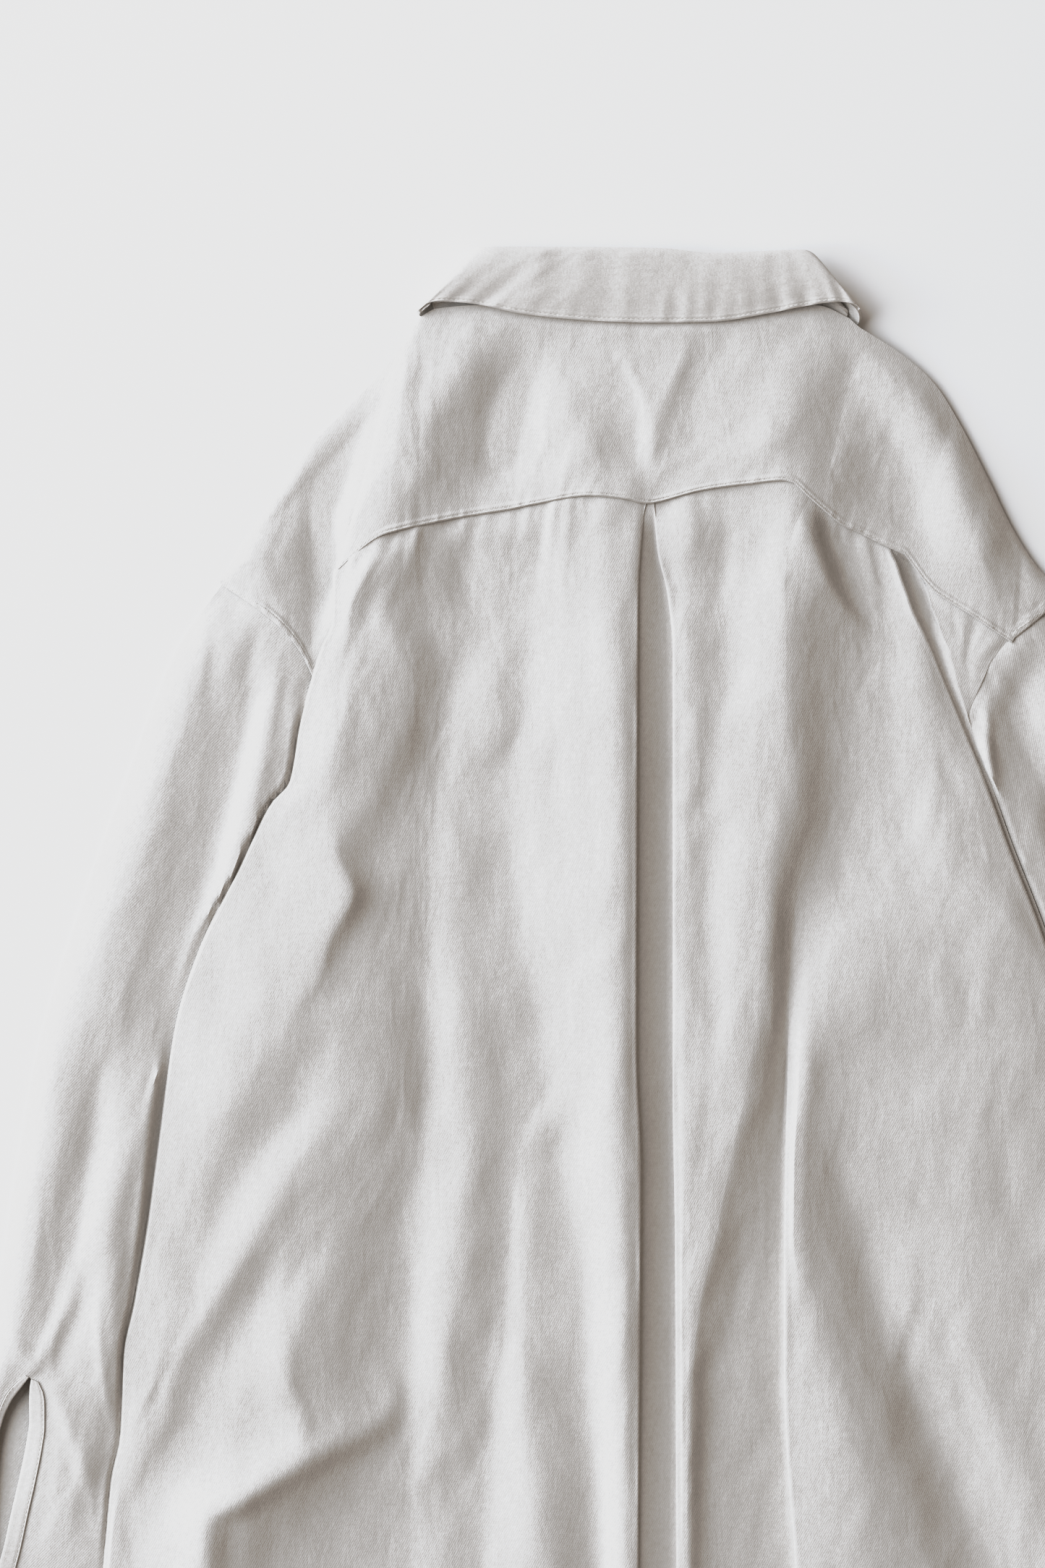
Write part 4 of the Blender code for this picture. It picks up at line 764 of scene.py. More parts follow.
def back_lines(y):
    """Every column of the back at heights y, from left to right: lists of x and z arrays."""
    edges = [edge_columns(e, y) for e in range(len(EDGES))]
    armhole = curve(RIGHT_ARMHOLE, 200)
    armhole = armhole[np.argsort(armhole[:, 1])]
    armhole_x, armhole_z = (np.interp(y, armhole[:, 1], armhole[:, k]) for k in (0, 2))
    side_x = column(RIGHT_SIDE, y, 1) + 1.2 + 4.0 * ramp(y, 14, 34)
    outer = np.where(y > 25.0, np.maximum(armhole_x - 0.2, side_x), side_x)
    edges.append([(outer, np.maximum(armhole_z - 0.4, 9.4))])
    lines = []
    for strip, count in enumerate(STRIP_COLUMNS):
        lines += edges[strip]
        relief = RELIEF.get(strip, ())
        ridges = range(1, len(relief[0]), 2) if relief else ()
        (ax, az), (bx, bz) = edges[strip][-1], edges[strip + 1][0]
        stops = [ax] + [column(relief, y, k) for k in ridges] + [bx]
        highs = [az] + [column(relief, y, k + 1) for k in ridges] + [bz]
        # Crests and troughs never cross: each keeps clear of the one before it
        for k in range(1, len(stops)):
            stops[k] = np.maximum(stops[k], stops[k - 1] + 0.6)
        stops, highs = np.array(stops), np.array(highs)
        # Each part of the strip gets columns by its width, between its widest and its mean
        parts = np.diff(stops, axis=0)
        widths = np.sqrt(np.max(parts, axis=1)) * np.sqrt(np.mean(parts, axis=1))
        shares = np.concatenate(([0], np.cumsum(widths))) / widths.sum()
        last = count + 1 if strip == len(STRIP_COLUMNS) - 1 else count
        for t in np.linspace(0, 1, count + 1)[1:last]:
            k = min(int(np.searchsorted(shares, t, side="right")) - 1, len(stops) - 2)
            part = (t - shares[k]) / (shares[k + 1] - shares[k])
            x = stops[k] + (stops[k + 1] - stops[k]) * part
            lines.append((x, smooth_steps(stops, highs, x)))
    return lines


# %% Softening and the grid
def sharpness(x, y):
    """How much of a place's height belongs to a crisp fold edge: 1 on a step, 0 far from it."""
    sharp = np.zeros_like(x)
    for edge in EDGES:
        place, left, right = (column(edge, y, k) for k in (1, 2, 3))
        step = np.clip(np.abs(left - right) / 2.5, 0.0, 1.0)
        sharp = np.maximum(sharp, step * np.exp(-((x - place) / 6.5) ** 4))
    # The pocket beside the side fold keeps its steep walls
    return np.maximum(sharp, ramp(x - column(RIGHT_SIDE, y, 1), 0, 2) * ramp(y, 20, 30))


def soften(x, y, z, reach=2.6, pitch=0.8):
    """Smooths heights along each row, except close to a crisp edge."""
    sharp = sharpness(x, y)
    offsets = np.arange(-round(3 * reach / pitch), round(3 * reach / pitch) + 1)
    bell = np.exp(-0.5 * (offsets * pitch / reach) ** 2)
    soft = np.empty_like(z)
    for i, (row_x, row_z) in enumerate(zip(np.maximum.accumulate(x, axis=1), z)):
        even = np.arange(row_x[0], row_x[-1] + pitch, pitch)
        heights = np.pad(np.interp(even, row_x, row_z), len(bell) // 2, mode="reflect",
                         reflect_type="odd")
        soft[i] = np.interp(row_x, even, np.convolve(heights, bell / bell.sum(), mode="valid"))
    return soft + (z - soft) * sharp


def back_grid(rows):
    """Outer points of the back panel, from under the yoke's edge down to the hem."""
    seam = curve(YOKE_SEAM, 300)
    sample = np.arange(-510.0, 180.0, 1.5)
    lines = back_lines(sample)
    grid = np.zeros((rows, len(lines), 3))
    for j, (x, z) in enumerate(lines):
        # A few steps of search find where the column meets the seam and the hem
        y_top, y_low = 150.0, HEM_SIDE_Y
        for _ in range(14):
            y_top = float(np.interp(np.interp(y_top, sample, x), seam[:, 0], seam[:, 1]))
            y_low = float(hem_y(np.interp(y_low, sample, x)))
        y = y_top + (y_low - y_top) * spread(0, 1, rows, 0.25)
        grid[:, j] = np.column_stack((np.interp(y, sample, x), y, np.interp(y, sample, z)))
    return grid, seam


# %% [markdown]
# ## The back
# The panel hangs from the yoke seam, so its top edge is gathered: short, slanting puckers run down
# from the seam. Below, long tension folds follow the columns, and finer crumples lie across them.

# %% Back panel: its grid and the places for small creases
BACK_ROWS = 156
back, seam = back_grid(BACK_ROWS)
x, y = back[..., 0], back[..., 1]
seam_y, seam_z = (np.interp(x[0], seam[:, 0], seam[:, k])[None] for k in (1, 2))
below = np.maximum(seam_y - y, 0.0)
# Small creases die away at the two sides and on the pleat's floor
left_edge, right_edge = column(LEFT_SIDE, y, 1), column(RIGHT_SIDE, y, 1)
keep = ramp(x - left_edge, 1.5, 13.5) * np.maximum(
    ramp(right_edge - x, 2, 16), ramp(x - right_edge, 11, 19))
pleat_floor = ramp(x - column(PLEAT_LEFT, y, 1), -2, 0) \
    * ramp(column(PLEAT_RIGHT, y, 1) + 2.0 - x, 0, 2)
keep = keep * (1.0 - 0.9 * pleat_floor)
print("back grid", back.shape[:2])

# %% Back panel: folds, crumples and gathers
BACK_CREASES = ((30, 70, 8, 1.5, 0.0), (17, 44, -16, 1.0, 0.25), (12, 26, 34, 0.5, 0.45),
                (9, 17, -38, 0.34, 0.5), (6, 14, 12, 0.18, 0.5))
fade = ramp(below, 0, 24)
back[..., 2] = soften(x, y, back[..., 2] + fold_heights(x, y, BACK_FOLDS) * fade * keep)
rows = pucker_rows(5, x[0, 0], x[0, -1], 8.5, 1.2, 3.2, 22.0)
rows += pucker_rows(6, x[0, 0], x[0, -1], 5.0, 0.5, 1.8, 9.0)
gathers = puckers(x[:1], below, rows, slant=-0.10)
shape = crumple(x, y, BACK_CREASES, 23) * ramp(below, 0, 30)
back[..., 2] += (shape + gathers) * keep
print("gathers under the seam", len(rows))

# %% Back panel: its edges
# Over the hollow and the pocket the cloth drops at once, and by the left fold it lies close
reach = 16.0 - 10.5 * ramp(x[:1], 84, 92) * ramp(x[:1], 152, 146)
near_seam = (1.0 - ramp(below, 0, reach)) * ease((x - left_edge - 0.2) / 0.5)
step = 0.3 + 0.6 * ramp(x[:1], -156, -142)
back[..., 2] += (seam_z - step - back[..., 2]) * near_seam
back[..., 2] += gathers * near_seam * keep * ramp(below, 0, 3)
# At the left side only the back itself turns down, to the sleeve
at_side = 1.0 - ease((x - left_edge - 1.2) / 1.6)
back[..., 2] = np.maximum(back[..., 2], back_floor(x, y) - 2.6 * at_side)
# The top edge slips under the yoke's
far = ramp(x[0], -172, -158)
tuck = back[:1] + np.column_stack((0 * far, 0.6 + 3.4 * far, -2.6 + 2.0 * far))
back = np.concatenate((tuck, back))
back_piece = cloth_wall("back_panel", back, strip_quads(*back.shape[:2]), BODY_CLOTH)

# %% [markdown]
# ## The yoke
# The yoke is one piece that folds forward over both shoulders. Its lower edge is turned in and
# stitched down on the back panel, which leaves a raised band with a row of stitches. Along the
# armholes the row is 5 mm from the edge, and along the back seam less than 2 mm.

# %% Folds of the yoke
YOKE_FOLDS = (
    ("left shoulder roll", (15, 15), (18, 16), 0.1,
     ((-96, 240, 1.5), (-104, 229, 3.5), (-119, 206, 4.2), (-127, 182, 4.2), (-131, 158, 3))),
    ("left shoulder crease", (16, 16), (22, 24), 0,
     ((-60, 246, -1), (-70, 228, -4.6), (-79, 206, -6.4), (-82, 182, -6.4), (-77, 160, -4))),
    ("rise right of it", (16, 18), (14, 16), 0,
     ((-40, 232, 1), (-45, 206, 2), (-38, 182, 2), (-34, 162, 1))),
    ("valley beside the left fold", (27, 24), (7, 6), 0,
     ((-158, 204, -2), (-163, 186, -4.6), (-170, 162, -7), (-176, 146, -8.4), (-175, 130, -8.6),
      (-176, 114, -8), (-180, 98, -6), (-184, 84, -3))),
    ("second diagonal", (9, 10), (12, 14), 0, ((-50, 242, -0.6), (-40, 226, -1.4), (-30, 208, -1))),
    ("centre hollow", (20, 24), (2.6, 2.8), 0.1,
     ((-8, 214, -1.2), (-5, 200, -2.6), (-4.6, 180, -3.4), (-4, 162, -2.4))),
    ("right of the centre", (7, 8), (24, 26), 0, ((0, 210, 0.4), (4, 190, 1), (6, 168, 0.8))),
    ("left stroke of the V", (1.9, 1.9), (2.6, 2.4), 0.2,
     ((-17, 238, 0.3), (-11, 228, 0.9), (-5, 217, 0.9), (-2, 211, 0.3))),
    ("right stroke of the V", (2.2, 2.4), (1.9, 1.9), 0.2,
     ((20, 243, 0.3), (18, 232, 0.9), (12, 219, 0.9), (6, 208, 0.3))),
    ("fold under the collar", (5, 5), (5, 5), 0,
     ((-100, 260, 0.4), (-66, 256, 1.1), (-30, 252, 1.1), (0, 250, 1.1), (34, 252, 1.1),
      (64, 256, 1.1), (98, 260, 0.4))),
    ("crest beside the right crease", (18, 18), (12, 10), 0.1,
     ((88, 240, 0.5), (80, 206, 2.4), (68, 182, 3), (70, 164, 1))),
    ("right shoulder crease", (26, 34), (15, 15), 0,
     ((100, 244, -1), (113, 210, -4.4), (128, 192, -6), (139, 177, -6.8), (144, 158, -6),
      (146.5, 140, -3.4))),
    ("right shoulder roll", (18, 18), (12, 12), 0,
     ((132, 238, 1), (148, 212, 2.4), (160, 186, 3), (169, 160, 3.2), (180, 134, 2.4))),
    ("right armhole trough", (10, 10), (12, 12), 0,
     ((186, 156, -1), (196, 130, -2), (204, 108, -2))))
print("folds of the yoke", len(YOKE_FOLDS))

# %% The yoke's edges
ARMHOLE_MARGIN, SEAM_MARGIN = 5.0, 1.8
# Shares of the yoke's upper outline that face the marks on its lower edge: the left armhole's two
# ends, the end of the hidden edge, three places of the back seam, the right armhole's two ends
UPPER_SHARES = np.array([0, 20, 37, 43, 80, 96, 112, 120]) / 120
SEAM_MARKS = (-100, 82, 146)


def yoke_lines(back_top):
    """The yoke's lower edge, the upper point for each of its points, and its stitch margin."""
    armhole, hidden = curve(LEFT_ARMHOLE[:5], 34), curve(YOKE_UNDER_BODY, 16)
    seam_row = back_top[(back_top[:, 0] > hidden[-1, 0] + 1.0)]
    seam_row = seam_row[np.concatenate(([True], np.diff(seam_row[:, 0]) > 0.4))]
    lift = 0.1 + 0.45 * ramp(seam_row[:, 0], -156, -142)
    seam_row[:, 2] = np.interp(seam_row[:, 0], seam[:, 0], seam[:, 2]) + lift
    seam_row[:, 1] -= 1.2
    right = curve(RIGHT_ARMHOLE[:4], 22)[::-1]
    lower = np.vstack((armhole, hidden[1:], seam_row, right[1:]))
    upper = np.vstack((curve(LEFT_SHOULDER, 120)[::-1], curve(NECKLINE, 120)[1:],
                       curve(RIGHT_SHOULDER, 120)[1:]))
    first, last = len(armhole) + len(hidden) - 1, len(lower) - len(right)
    marks = [first + int(np.argmin(np.abs(lower[first:last, 0] - v))) for v in SEAM_MARKS]
    marks = [0, len(armhole) - 1, first, *marks, last, len(lower) - 1]
    index = np.arange(len(lower))
    where = np.interp(index, marks, UPPER_SHARES * (len(upper) - 1))
    upper = np.column_stack([np.interp(where, np.arange(len(upper)), part) for part in upper.T])
    margin = np.where((index < first) | (index > last), ARMHOLE_MARGIN, SEAM_MARGIN)
    return lower, upper, margin


# %% Yoke: its grid
# Distances of the first rows from the edge; where the yoke is narrow, they draw together
YOKE_STARTS = np.array([0, 0.7, 1.3, 1.8, 2.3, 3.0, 3.8, 4.5, 5.0, 5.5, 6.3, 7.5, 9.0, 11.0, 13.5])
YOKE_NARROW = 60.0
lower, upper, margin = yoke_lines(back[1])
span = np.linalg.norm((upper - lower)[:, :2], axis=1)
narrow = np.minimum(span / YOKE_NARROW, 1.0)
steps = []
for length, scale in zip(span, narrow):
    start = YOKE_STARTS * scale
    rest = start[-1] + (length - start[-1]) * spread(0, 1, 42, 0.3)[1:]
    steps.append(np.concatenate((start, rest)) / max(length, 0.01))
steps = np.array(steps).T
yoke = lower[None] + (upper - lower)[None] * steps[..., None]
# Towards the shoulders' fold it drops at first slowly, then fast, and it is crowned
drop = ((8.0 - upper[:, 2]) / 4.6).clip(0, 1)
rise = 1.0 - steps ** (1.2 + 3.0 * drop)
yoke[..., 2] = upper[:, 2] + (lower[:, 2] - upper[:, 2]) * rise
crown = (3.0 - 2.4 * (upper[:, 0] > 0)) * drop * narrow
yoke[..., 2] += crown * np.sin(math.pi * np.clip(steps, 0, 0.999) ** 1.6) ** 0.8
print("yoke grid", yoke.shape[:2])

# %% Yoke: folds, puckers and the turned-in edge
YOKE_CREASES = ((34, 60, 20, 1.3, 0.1), (18, 40, -24, 0.8, 0.3), (11, 24, 30, 0.4, 0.45),
                (8, 16, -38, 0.28, 0.5))
x, y = yoke[..., 0], yoke[..., 1]
off, along = steps * span, run_of(lower[:, :2])
shape = fold_heights(x, y, YOKE_FOLDS) * (ramp(steps, 0, 0.25) * ramp(1 - steps, 0, 0.18))
shape += crumple(x, y, YOKE_CREASES, 51) * ramp(off, 0, 22) * ramp(span - off, 0, 14)
# The edge that the body's left fold hides is flat, and it is flatter beside it
at_armhole = margin == ARMHOLE_MARGIN
raised = np.where(at_armhole, np.abs(lower[:, 0]) >= 186.0,
                  0.1 + 0.9 * ramp(lower[:, 0], -156, -142))
rows = pucker_rows(8, 0.0, along[-1], 5.5, 0.55, 1.7, 9.0)
shape += puckers(along, off, rows, slant=0.05) * ramp(span - off, 0, 20) * raised
# The turned-in seam makes a raised band that ends in a groove at the stitches
band = ramp(off, 0, 0.8) * (1.0 - ease((off - margin - 0.5) / 2.2))
groove = np.exp(-((off - margin) / 0.55) ** 2)
shape += (0.8 * band - 0.5 * groove) * narrow * (raised * np.where(at_armhole, 1.5, 1.0))
yoke[..., 2] += shape
inside = slice(4, -3)
yoke[inside, :, 2] = np.maximum(yoke[..., 2], back_floor(x, y) + 0.8)[inside]
yoke_piece = cloth_wall("yoke_panel", yoke, strip_quads(*yoke.shape[:2], flip=True), BODY_CLOTH)

# %% [markdown]
# ## The sleeves
# A sleeve is a flattened tube. Its upper layer starts under the yoke's stitched edge, puckers
# there, and falls in long soft rolls. It drops where the body lies on it. The slit above the cuff
# is an opening between two columns of the upper layer.

# %% Sleeve outlines
SLEEVE_OUTER = (
    (-238, 108), (-260, 77), (-272.5, 48), (-291, -2), (-314.5, -68), (-337, -142), (-351.5, -222),
    (-357.5, -264), (-372, -345), (-386, -440))
SLIT_TOP_Y = -325
SLEEVE_FOLDS = (
    ("shoulder trough", (28, 26), (8, 8), 0,
     ((-212, 76, -2), (-223, 34, -6), (-232, -6, -6.4), (-242, -46, -6), (-256, -86, -5.2),
      (-264, -120, -4.6), (-270, -146, -3))),
    ("ridge beside the body", (7, 7), (6, 6), 0,
     ((-203, 60, 0.6), (-208, 34, 1.6), (-219, -6, 1.6), (-230, -46, 0.8))),
    ("first gather", (3.6, 4.4), (3.6, 4.4), 0.2,
     ((-240, 88, -1), (-241, 70, -1.5), (-244, 46, -0.7))),
    ("second gather", (3.6, 4.4), (3.6, 4.4), 0.2,
     ((-215, 88, -1.2), (-219, 70, -1.7), (-222, 48, -0.7))),
    ("third gather", (4, 5), (4, 5), 0.2, ((-196, 72, -1.4), (-201, 52, -1.8), (-206, 26, -0.8))),
    ("elbow trough", (14, 16), (9, 8), 0,
     ((-298, -140, -1), (-305, -166, -3), (-306, -198, -3.8), (-312, -222, -4.2),
      (-316, -246, -4.2), (-322, -270, -4), (-328, -300, -2.6))),
    ("lower roll", (11, 10), (9, 8), 0,
     ((-276, -150, 1), (-283, -180, 1.8), (-286, -198, 2.4), (-293, -222, 2.8), (-298, -246, 2.8),
      (-297, -270, 2.8), (-297, -294, 2.6), (-296, -330, 1.6))),
    ("hollow round the slit", (16, 18), (20, 22), 0,
     ((-344, -330, -2), (-350, -352, -5.6), (-354, -400, -6.8), (-358, -446, -6))),
    ("pinch above the slit", (3.5, 4), (5, 4), 0.3,
     ((-320, -266, 0.5), (-322, -286, 1.8), (-331, -308, 2.6), (-338, -321, 1.8))),
    ("hollow right of the pinch", (4, 5), (9, 8), 0,
     ((-311, -262, -0.6), (-314, -290, -1.8), (-325, -316, -1.4))),
    ("left pinch", (5, 4), (3, 3), 0.4, ((-352, -302, 0.6), (-346, -312, 1.8), (-340, -322, 1.4))),
    ("crease from the slit", (3.5, 4.5), (7, 10), 0.4,
     ((-331, -328, 1.2), (-322, -350, 2.2), (-313, -376, 2), (-306, -392, 0.6))),
    ("low beside the body", (14, 15), (8, 8), 0,
     ((-270, -250, -0.4), (-277, -286, -2.6), (-286, -336, -3.6), (-294, -390, -3.8),
      (-299, -446, -3.2))),
    ("fine side crease", (2.5, 2.5), (2.5, 2.5), 0.4,
     ((-304, -286, 0.8), (-302, -320, 1.2), (-296, -352, 0.8))))
# The right sleeve's own: the fold edge under the armhole and the cloth that falls beside it
RIGHT_SLEEVE_FOLDS = (
    ("fold edge", (7, 9), (2.4, 3), 0.3,
     ((190, 66, 0.8), (186, 57, 2.6), (184.8, 44, 4), (185.6, 31, 4.4), (187.6, 10, 3.6),
      (190, -6, 1.6))),
    ("fall beside it", (14, 24), (14, 26), 0,
     ((204, 74, -1), (204, 60, -4), (205, 40, -6.6), (211, 15, -6.8), (226, -14, -6.6),
      (240, -50, -6), (256, -110, -5), (270, -180, -4))))
# The slit's two lips, from its top down: y, outer lip's x, inner lip's x
SLIT_LIPS = (
    (-324, -340.4, -340.2), (-327, -342.2, -341), (-332, -346, -341.8), (-340, -352, -342.2),
    (-350, -356.6, -342.2), (-362, -359.6, -343.8), (-380, -362, -347.4), (-398, -363, -351.6),
    (-420, -363.4, -356.4), (-436, -363.4, -360.2), (-470, -363.4, -362.6))
print("folds of a sleeve", len(SLEEVE_FOLDS))


# %% A sleeve's plan
SLEEVE_DROP = 4.0               # the right sleeve lies so much lower than the left one


def coons(top, bottom, left, right, across, down):
    """Points between four edge curves that meet at the corners."""
    s = across[None, :, None]
    t = down[:, None, None]
    corners = ((1 - s) * (1 - t) * top[0] + s * (1 - t) * top[-1]
               + (1 - s) * t * bottom[0] + s * t * bottom[-1])
    return (1 - t) * top[None] + t * bottom[None] + (1 - s) * left[:, None] \
        + s * right[:, None] - corners


def sleeve_tables(side):
    """Armhole, outer fold and inner fold of one sleeve; side is -1 or 1."""
    if side < 0:
        return LEFT_ARMHOLE, SLEEVE_OUTER, SLEEVE_INNER
    outer, inner = ([(mirrored(x, side), y - SLEEVE_DROP) for x, y in rows]
                    for rows in (SLEEVE_OUTER, SLEEVE_INNER))
    return RIGHT_ARMHOLE, outer, [RIGHT_ARMHOLE[-1][:2]] + inner[1:]


def sleeve_plan(side, across, down):
    """Plan of a sleeve between its armhole, its two folds and its end at the cuff."""
    armhole, outer, inner = sleeve_tables(side)
    top = curve(armhole, across)
    left, right = curve(outer, down), curve(inner, down)
    left[0], right[0] = top[0, :2], top[-1, :2]
    bottom = left[-1] + (right[-1] - left[-1]) * across[:, None]
    return coons(top[:, :2], bottom, left, right, across, down), top[:, 2]


# %% A sleeve's upper layer
SLEEVE_ROWS = 132
ACROSS_OUT = np.concatenate(([0, 0.006, 0.014, 0.026, 0.04], np.linspace(0.055, 0.20, 13)))
ACROSS_IN = np.concatenate((np.linspace(0.215, 0.955, 62), [0.97, 0.985, 0.994, 1.0]))
ACROSS = np.concatenate((ACROSS_OUT, ACROSS_IN))
LIP = len(ACROSS_OUT) - 1       # the column of the slit's outer lip; the inner lip is the next one
LIP_BLOCKS = (range(LIP, 0, -1), range(LIP + 1, LIP + 24))   # columns that give way to each lip
# Heights y and the width there over which a sleeve sinks beside the body
SINK_WIDTHS = {-1: ((-300, -270, -200, -86, -60, 0, 30), (1.6, 3.0, 6.0, 6.5, 1.8, 1.6, 1.6)),
               1: ((-200, 0, 30), (6.0, 3.5, 3.5))}
SLEEVE_CREASES = ((26, 120, 0, 1.5, 0.0), (13, 60, 6, 1.0, 0.3), (9, 30, -28, 0.5, 0.4),
                  (7, 22, 32, 0.35, 0.4))
LAYER = 6.4                     # height of the upper layer where nothing lies on it
EDGE_Z, LEAST_Z = 1.9, 3.5      # height at a tube's two folds, least height between them


def open_slit(plan, side):
    """Moves the columns beside the slit apart; returns the slit's first row."""
    first = int(np.argmin(np.abs(plan[:, LIP, 1] - SLIT_TOP_Y)))
    for i in range(first, SLEEVE_ROWS):
        y = plan[i, LIP, 1] + (0.0 if side < 0 else SLEEVE_DROP)
        for k, block in enumerate(LIP_BLOCKS):
            shift = mirrored(column(SLIT_LIPS, y, k + 1), side) - plan[i, LIP + k, 0]
            for n, j in enumerate(block):
                plan[i, j, 0] += shift * (1.0 - n / len(block)) ** 1.5
    return first


def sleeve_surface(side):
    """Upper points of one sleeve, the shares of its rows, and its first row of the slit."""
    down = spread(0, 1, SLEEVE_ROWS, 0.3)
    plan, seam_z = sleeve_plan(side, ACROSS, down)
    first = open_slit(plan, side)
    x, y = plan[..., 0], plan[..., 1]
    edge = column(LEFT_SIDE if side < 0 else RIGHT_SIDE, y, 1)
    clear = (edge - x) if side < 0 else (x - edge)
    width = np.interp(y, *SINK_WIDTHS[side])
    visible = ease((clear - np.minimum(0.3 * width, 1.0)) / width) * ramp(y, 55, 35) \
        + ramp(y, 30, 50)
    visible = np.clip(visible, 0, 1)
    length = down[:, None] * 600.0
    folds = fold_heights(mirrored(x, side), y + (0 if side < 0 else SLEEVE_DROP), SLEEVE_FOLDS)
    if side > 0:
        folds *= ramp(y, 10, -50)
        folds += fold_heights(x, y, RIGHT_SLEEVE_FOLDS)
    # Creases run along the sleeve, which is turned against the body
    turn = math.radians(SLEEVE_TURN * side)
    u, v = x * math.cos(turn) + y * math.sin(turn), y * math.cos(turn) - x * math.sin(turn)
    folds += crumple(u, v, SLEEVE_CREASES, 71 + side) * ramp(length, 0, 30)
    near_cuff = ramp(down[:, None], 0.86, 1)
    high = (SLEEVE_UNDER + (LAYER + folds) * visible) * (1 - near_cuff) + SLEEVE_UNDER * near_cuff
    run = run_of(plan[0])
    rows = pucker_rows(91 + side, 0, run[-1], 8.0, 1.1, 2.8, 20.0)
    rows += pucker_rows(93 + side, 0, run[-1], 5.0, 0.5, 1.7, 8.0)
    gathers = puckers(run, length, rows)
    high += gathers * visible
    near_seam = 1.0 - ramp(length, 0, 26)
    high = high * (1 - near_seam) + (seam_z[None] - 0.5) * near_seam
    high += gathers * near_seam * visible * ramp(length, 0, 4)
    round_outer, round_inner = (1.0 - (1.0 - np.clip(share / bend, 0, 1)) ** 2.4
                                for share, bend in ((ACROSS, 0.13), (1 - ACROSS, 0.08)))
    z = EDGE_Z + (np.maximum(high, LEAST_Z) - EDGE_Z) * (round_outer * round_inner)[None]
    return np.dstack((x, y, z)), down, first


# %% The sleeves
UNDER = np.array([0.994, 0.985, 0.96, 0.9, 0.8, 0.7, 0.6, 0.5, 0.4, 0.3, 0.2, 0.1, 0.04, 0.014,
                  0.006])       # places across of the lower layer's columns


def sleeve(side, name, material):
    """One sleeve: a flattened tube of cloth, open at the armhole and the cuff, with its slit."""
    upper_layer, down, first = sleeve_surface(side)
    under_plan, _ = sleeve_plan(side, UNDER[::-1], down)
    under_z = 0.1 + 0.9 * np.exp(-np.minimum(UNDER, 1 - UNDER) / 0.008)
    # The lower layer puffs up a little behind the slit
    puff = 2.3 * np.exp(-((UNDER - 0.17) / 0.08) ** 2) * ramp(down[:, None] - down[first], 0, 0.06)
    under = np.dstack((under_plan[:, ::-1], under_z + puff))
    ring = np.concatenate((upper_layer, under), axis=1)
    # The armhole end slips under the yoke and the back
    step = (ring[0] - ring[3]) * (1, 1, 0)
    step = step / np.maximum(np.linalg.norm(step, axis=1), 1e-6)[:, None]
    inward = ring[0] + step * 2.5 - (0, 0, 1.0) * (ring[0, :, 2:] > 3.0)
    ring = np.concatenate((inward[None], ring))
    rows, ring_cols = ring.shape[:2]
    quads = strip_quads(rows, ring_cols, closed=True)
    place = np.arange(len(quads))
    quads = quads[~((place % ring_cols == LIP) & (place // ring_cols >= first + 1))]
    if side > 0:
        quads = quads[:, ::-1]
    return cloth_wall(name, ring, quads, material), upper_layer, first


left_sleeve, left_upper, left_first = sleeve(-1, "sleeve_tube_left", LEFT_CLOTH)
right_sleeve, right_upper, right_first = sleeve(1, "sleeve_tube_right", RIGHT_CLOTH)

# %% [markdown]
# ## The slits' bindings
# Each slit is bound with a folded strip 9.5 mm wide on its inner lip and a narrow one on the other.
# The strips are made from the sleeve's own points, moved up, so they follow every crease.

# %% Bindings
BINDING_WIDTH, FACING_WIDTH = 9.5, 5.0
# Across a strip: share of its width and height over the sleeve, with a groove at the stitches
STRIP_SHARES = np.array([-0.04, 0, 0.06, 0.2, 0.35, 0.5, 0.65, 0.8, 0.86, 0.9, 0.96, 1.0])
STRIP_LIFTS = np.array([0, 1.0, 1.3, 1.35, 1.3, 1.3, 1.35, 1.3, 1.05, 1.2, 1.2, 0.5])
TOP_WIDTHS = (0.45, 0.84, 0.97, 1.0)    # of the first rows, so that the strip's top is rounded


def binding(name, upper_layer, first, side, lip, width):
    """A folded strip along one lip of a slit."""
    start = LIP + lip
    columns = slice(start, start + 16) if lip else slice(start, start - 9, -1)
    block = upper_layer[first:, columns]
    strip = np.zeros((len(block), len(STRIP_SHARES), 3))
    for i, row in enumerate(block):
        run = run_of(row[:, :2])
        top_width = np.interp(i, range(len(TOP_WIDTHS)), TOP_WIDTHS)
        reach = min(width, run[-1]) * STRIP_SHARES * top_width
        strip[i] = np.column_stack([np.interp(reach, run, values) for values in row.T])
        strip[i, 0] = strip[i, 1] + (0, 0, -0.7)
    strip[..., 2] += STRIP_LIFTS
    rows = pucker_rows(31 + lip, 0, 140, 6.0, 0.35, 1.8, 5.0)
    down = np.linspace(0, 130, len(block))[:, None]
    strip[..., 2] += puckers(down, STRIP_SHARES * width + 1, rows)
    flip = (side > 0) != (lip == 0)
    return cloth_wall(name, strip, strip_quads(*strip.shape[:2], flip=flip), DOUBLE_CLOTH_PAINTED_LIGHTER, 0.8)


strips = {}
for hand, side, upper_layer, first in (("left", -1, left_upper, left_first),
                                       ("right", 1, right_upper, right_first)):
    strips["placket_" + hand] = binding(
        "binding_" + hand, upper_layer, first, side, 1, BINDING_WIDTH)
    strips[f"placket_{hand}_facing"] = binding(
        "facing_" + hand, upper_layer, first, side, 0, FACING_WIDTH)

# %% [markdown]
# ## The collar
# The collar fall is folded down over the stand. It is doubled cloth with a row of stitches 2 mm
# from its edge, and the stitching draws the cloth into short puckers. The sections below run round
# the neck from the left front edge to the right one.

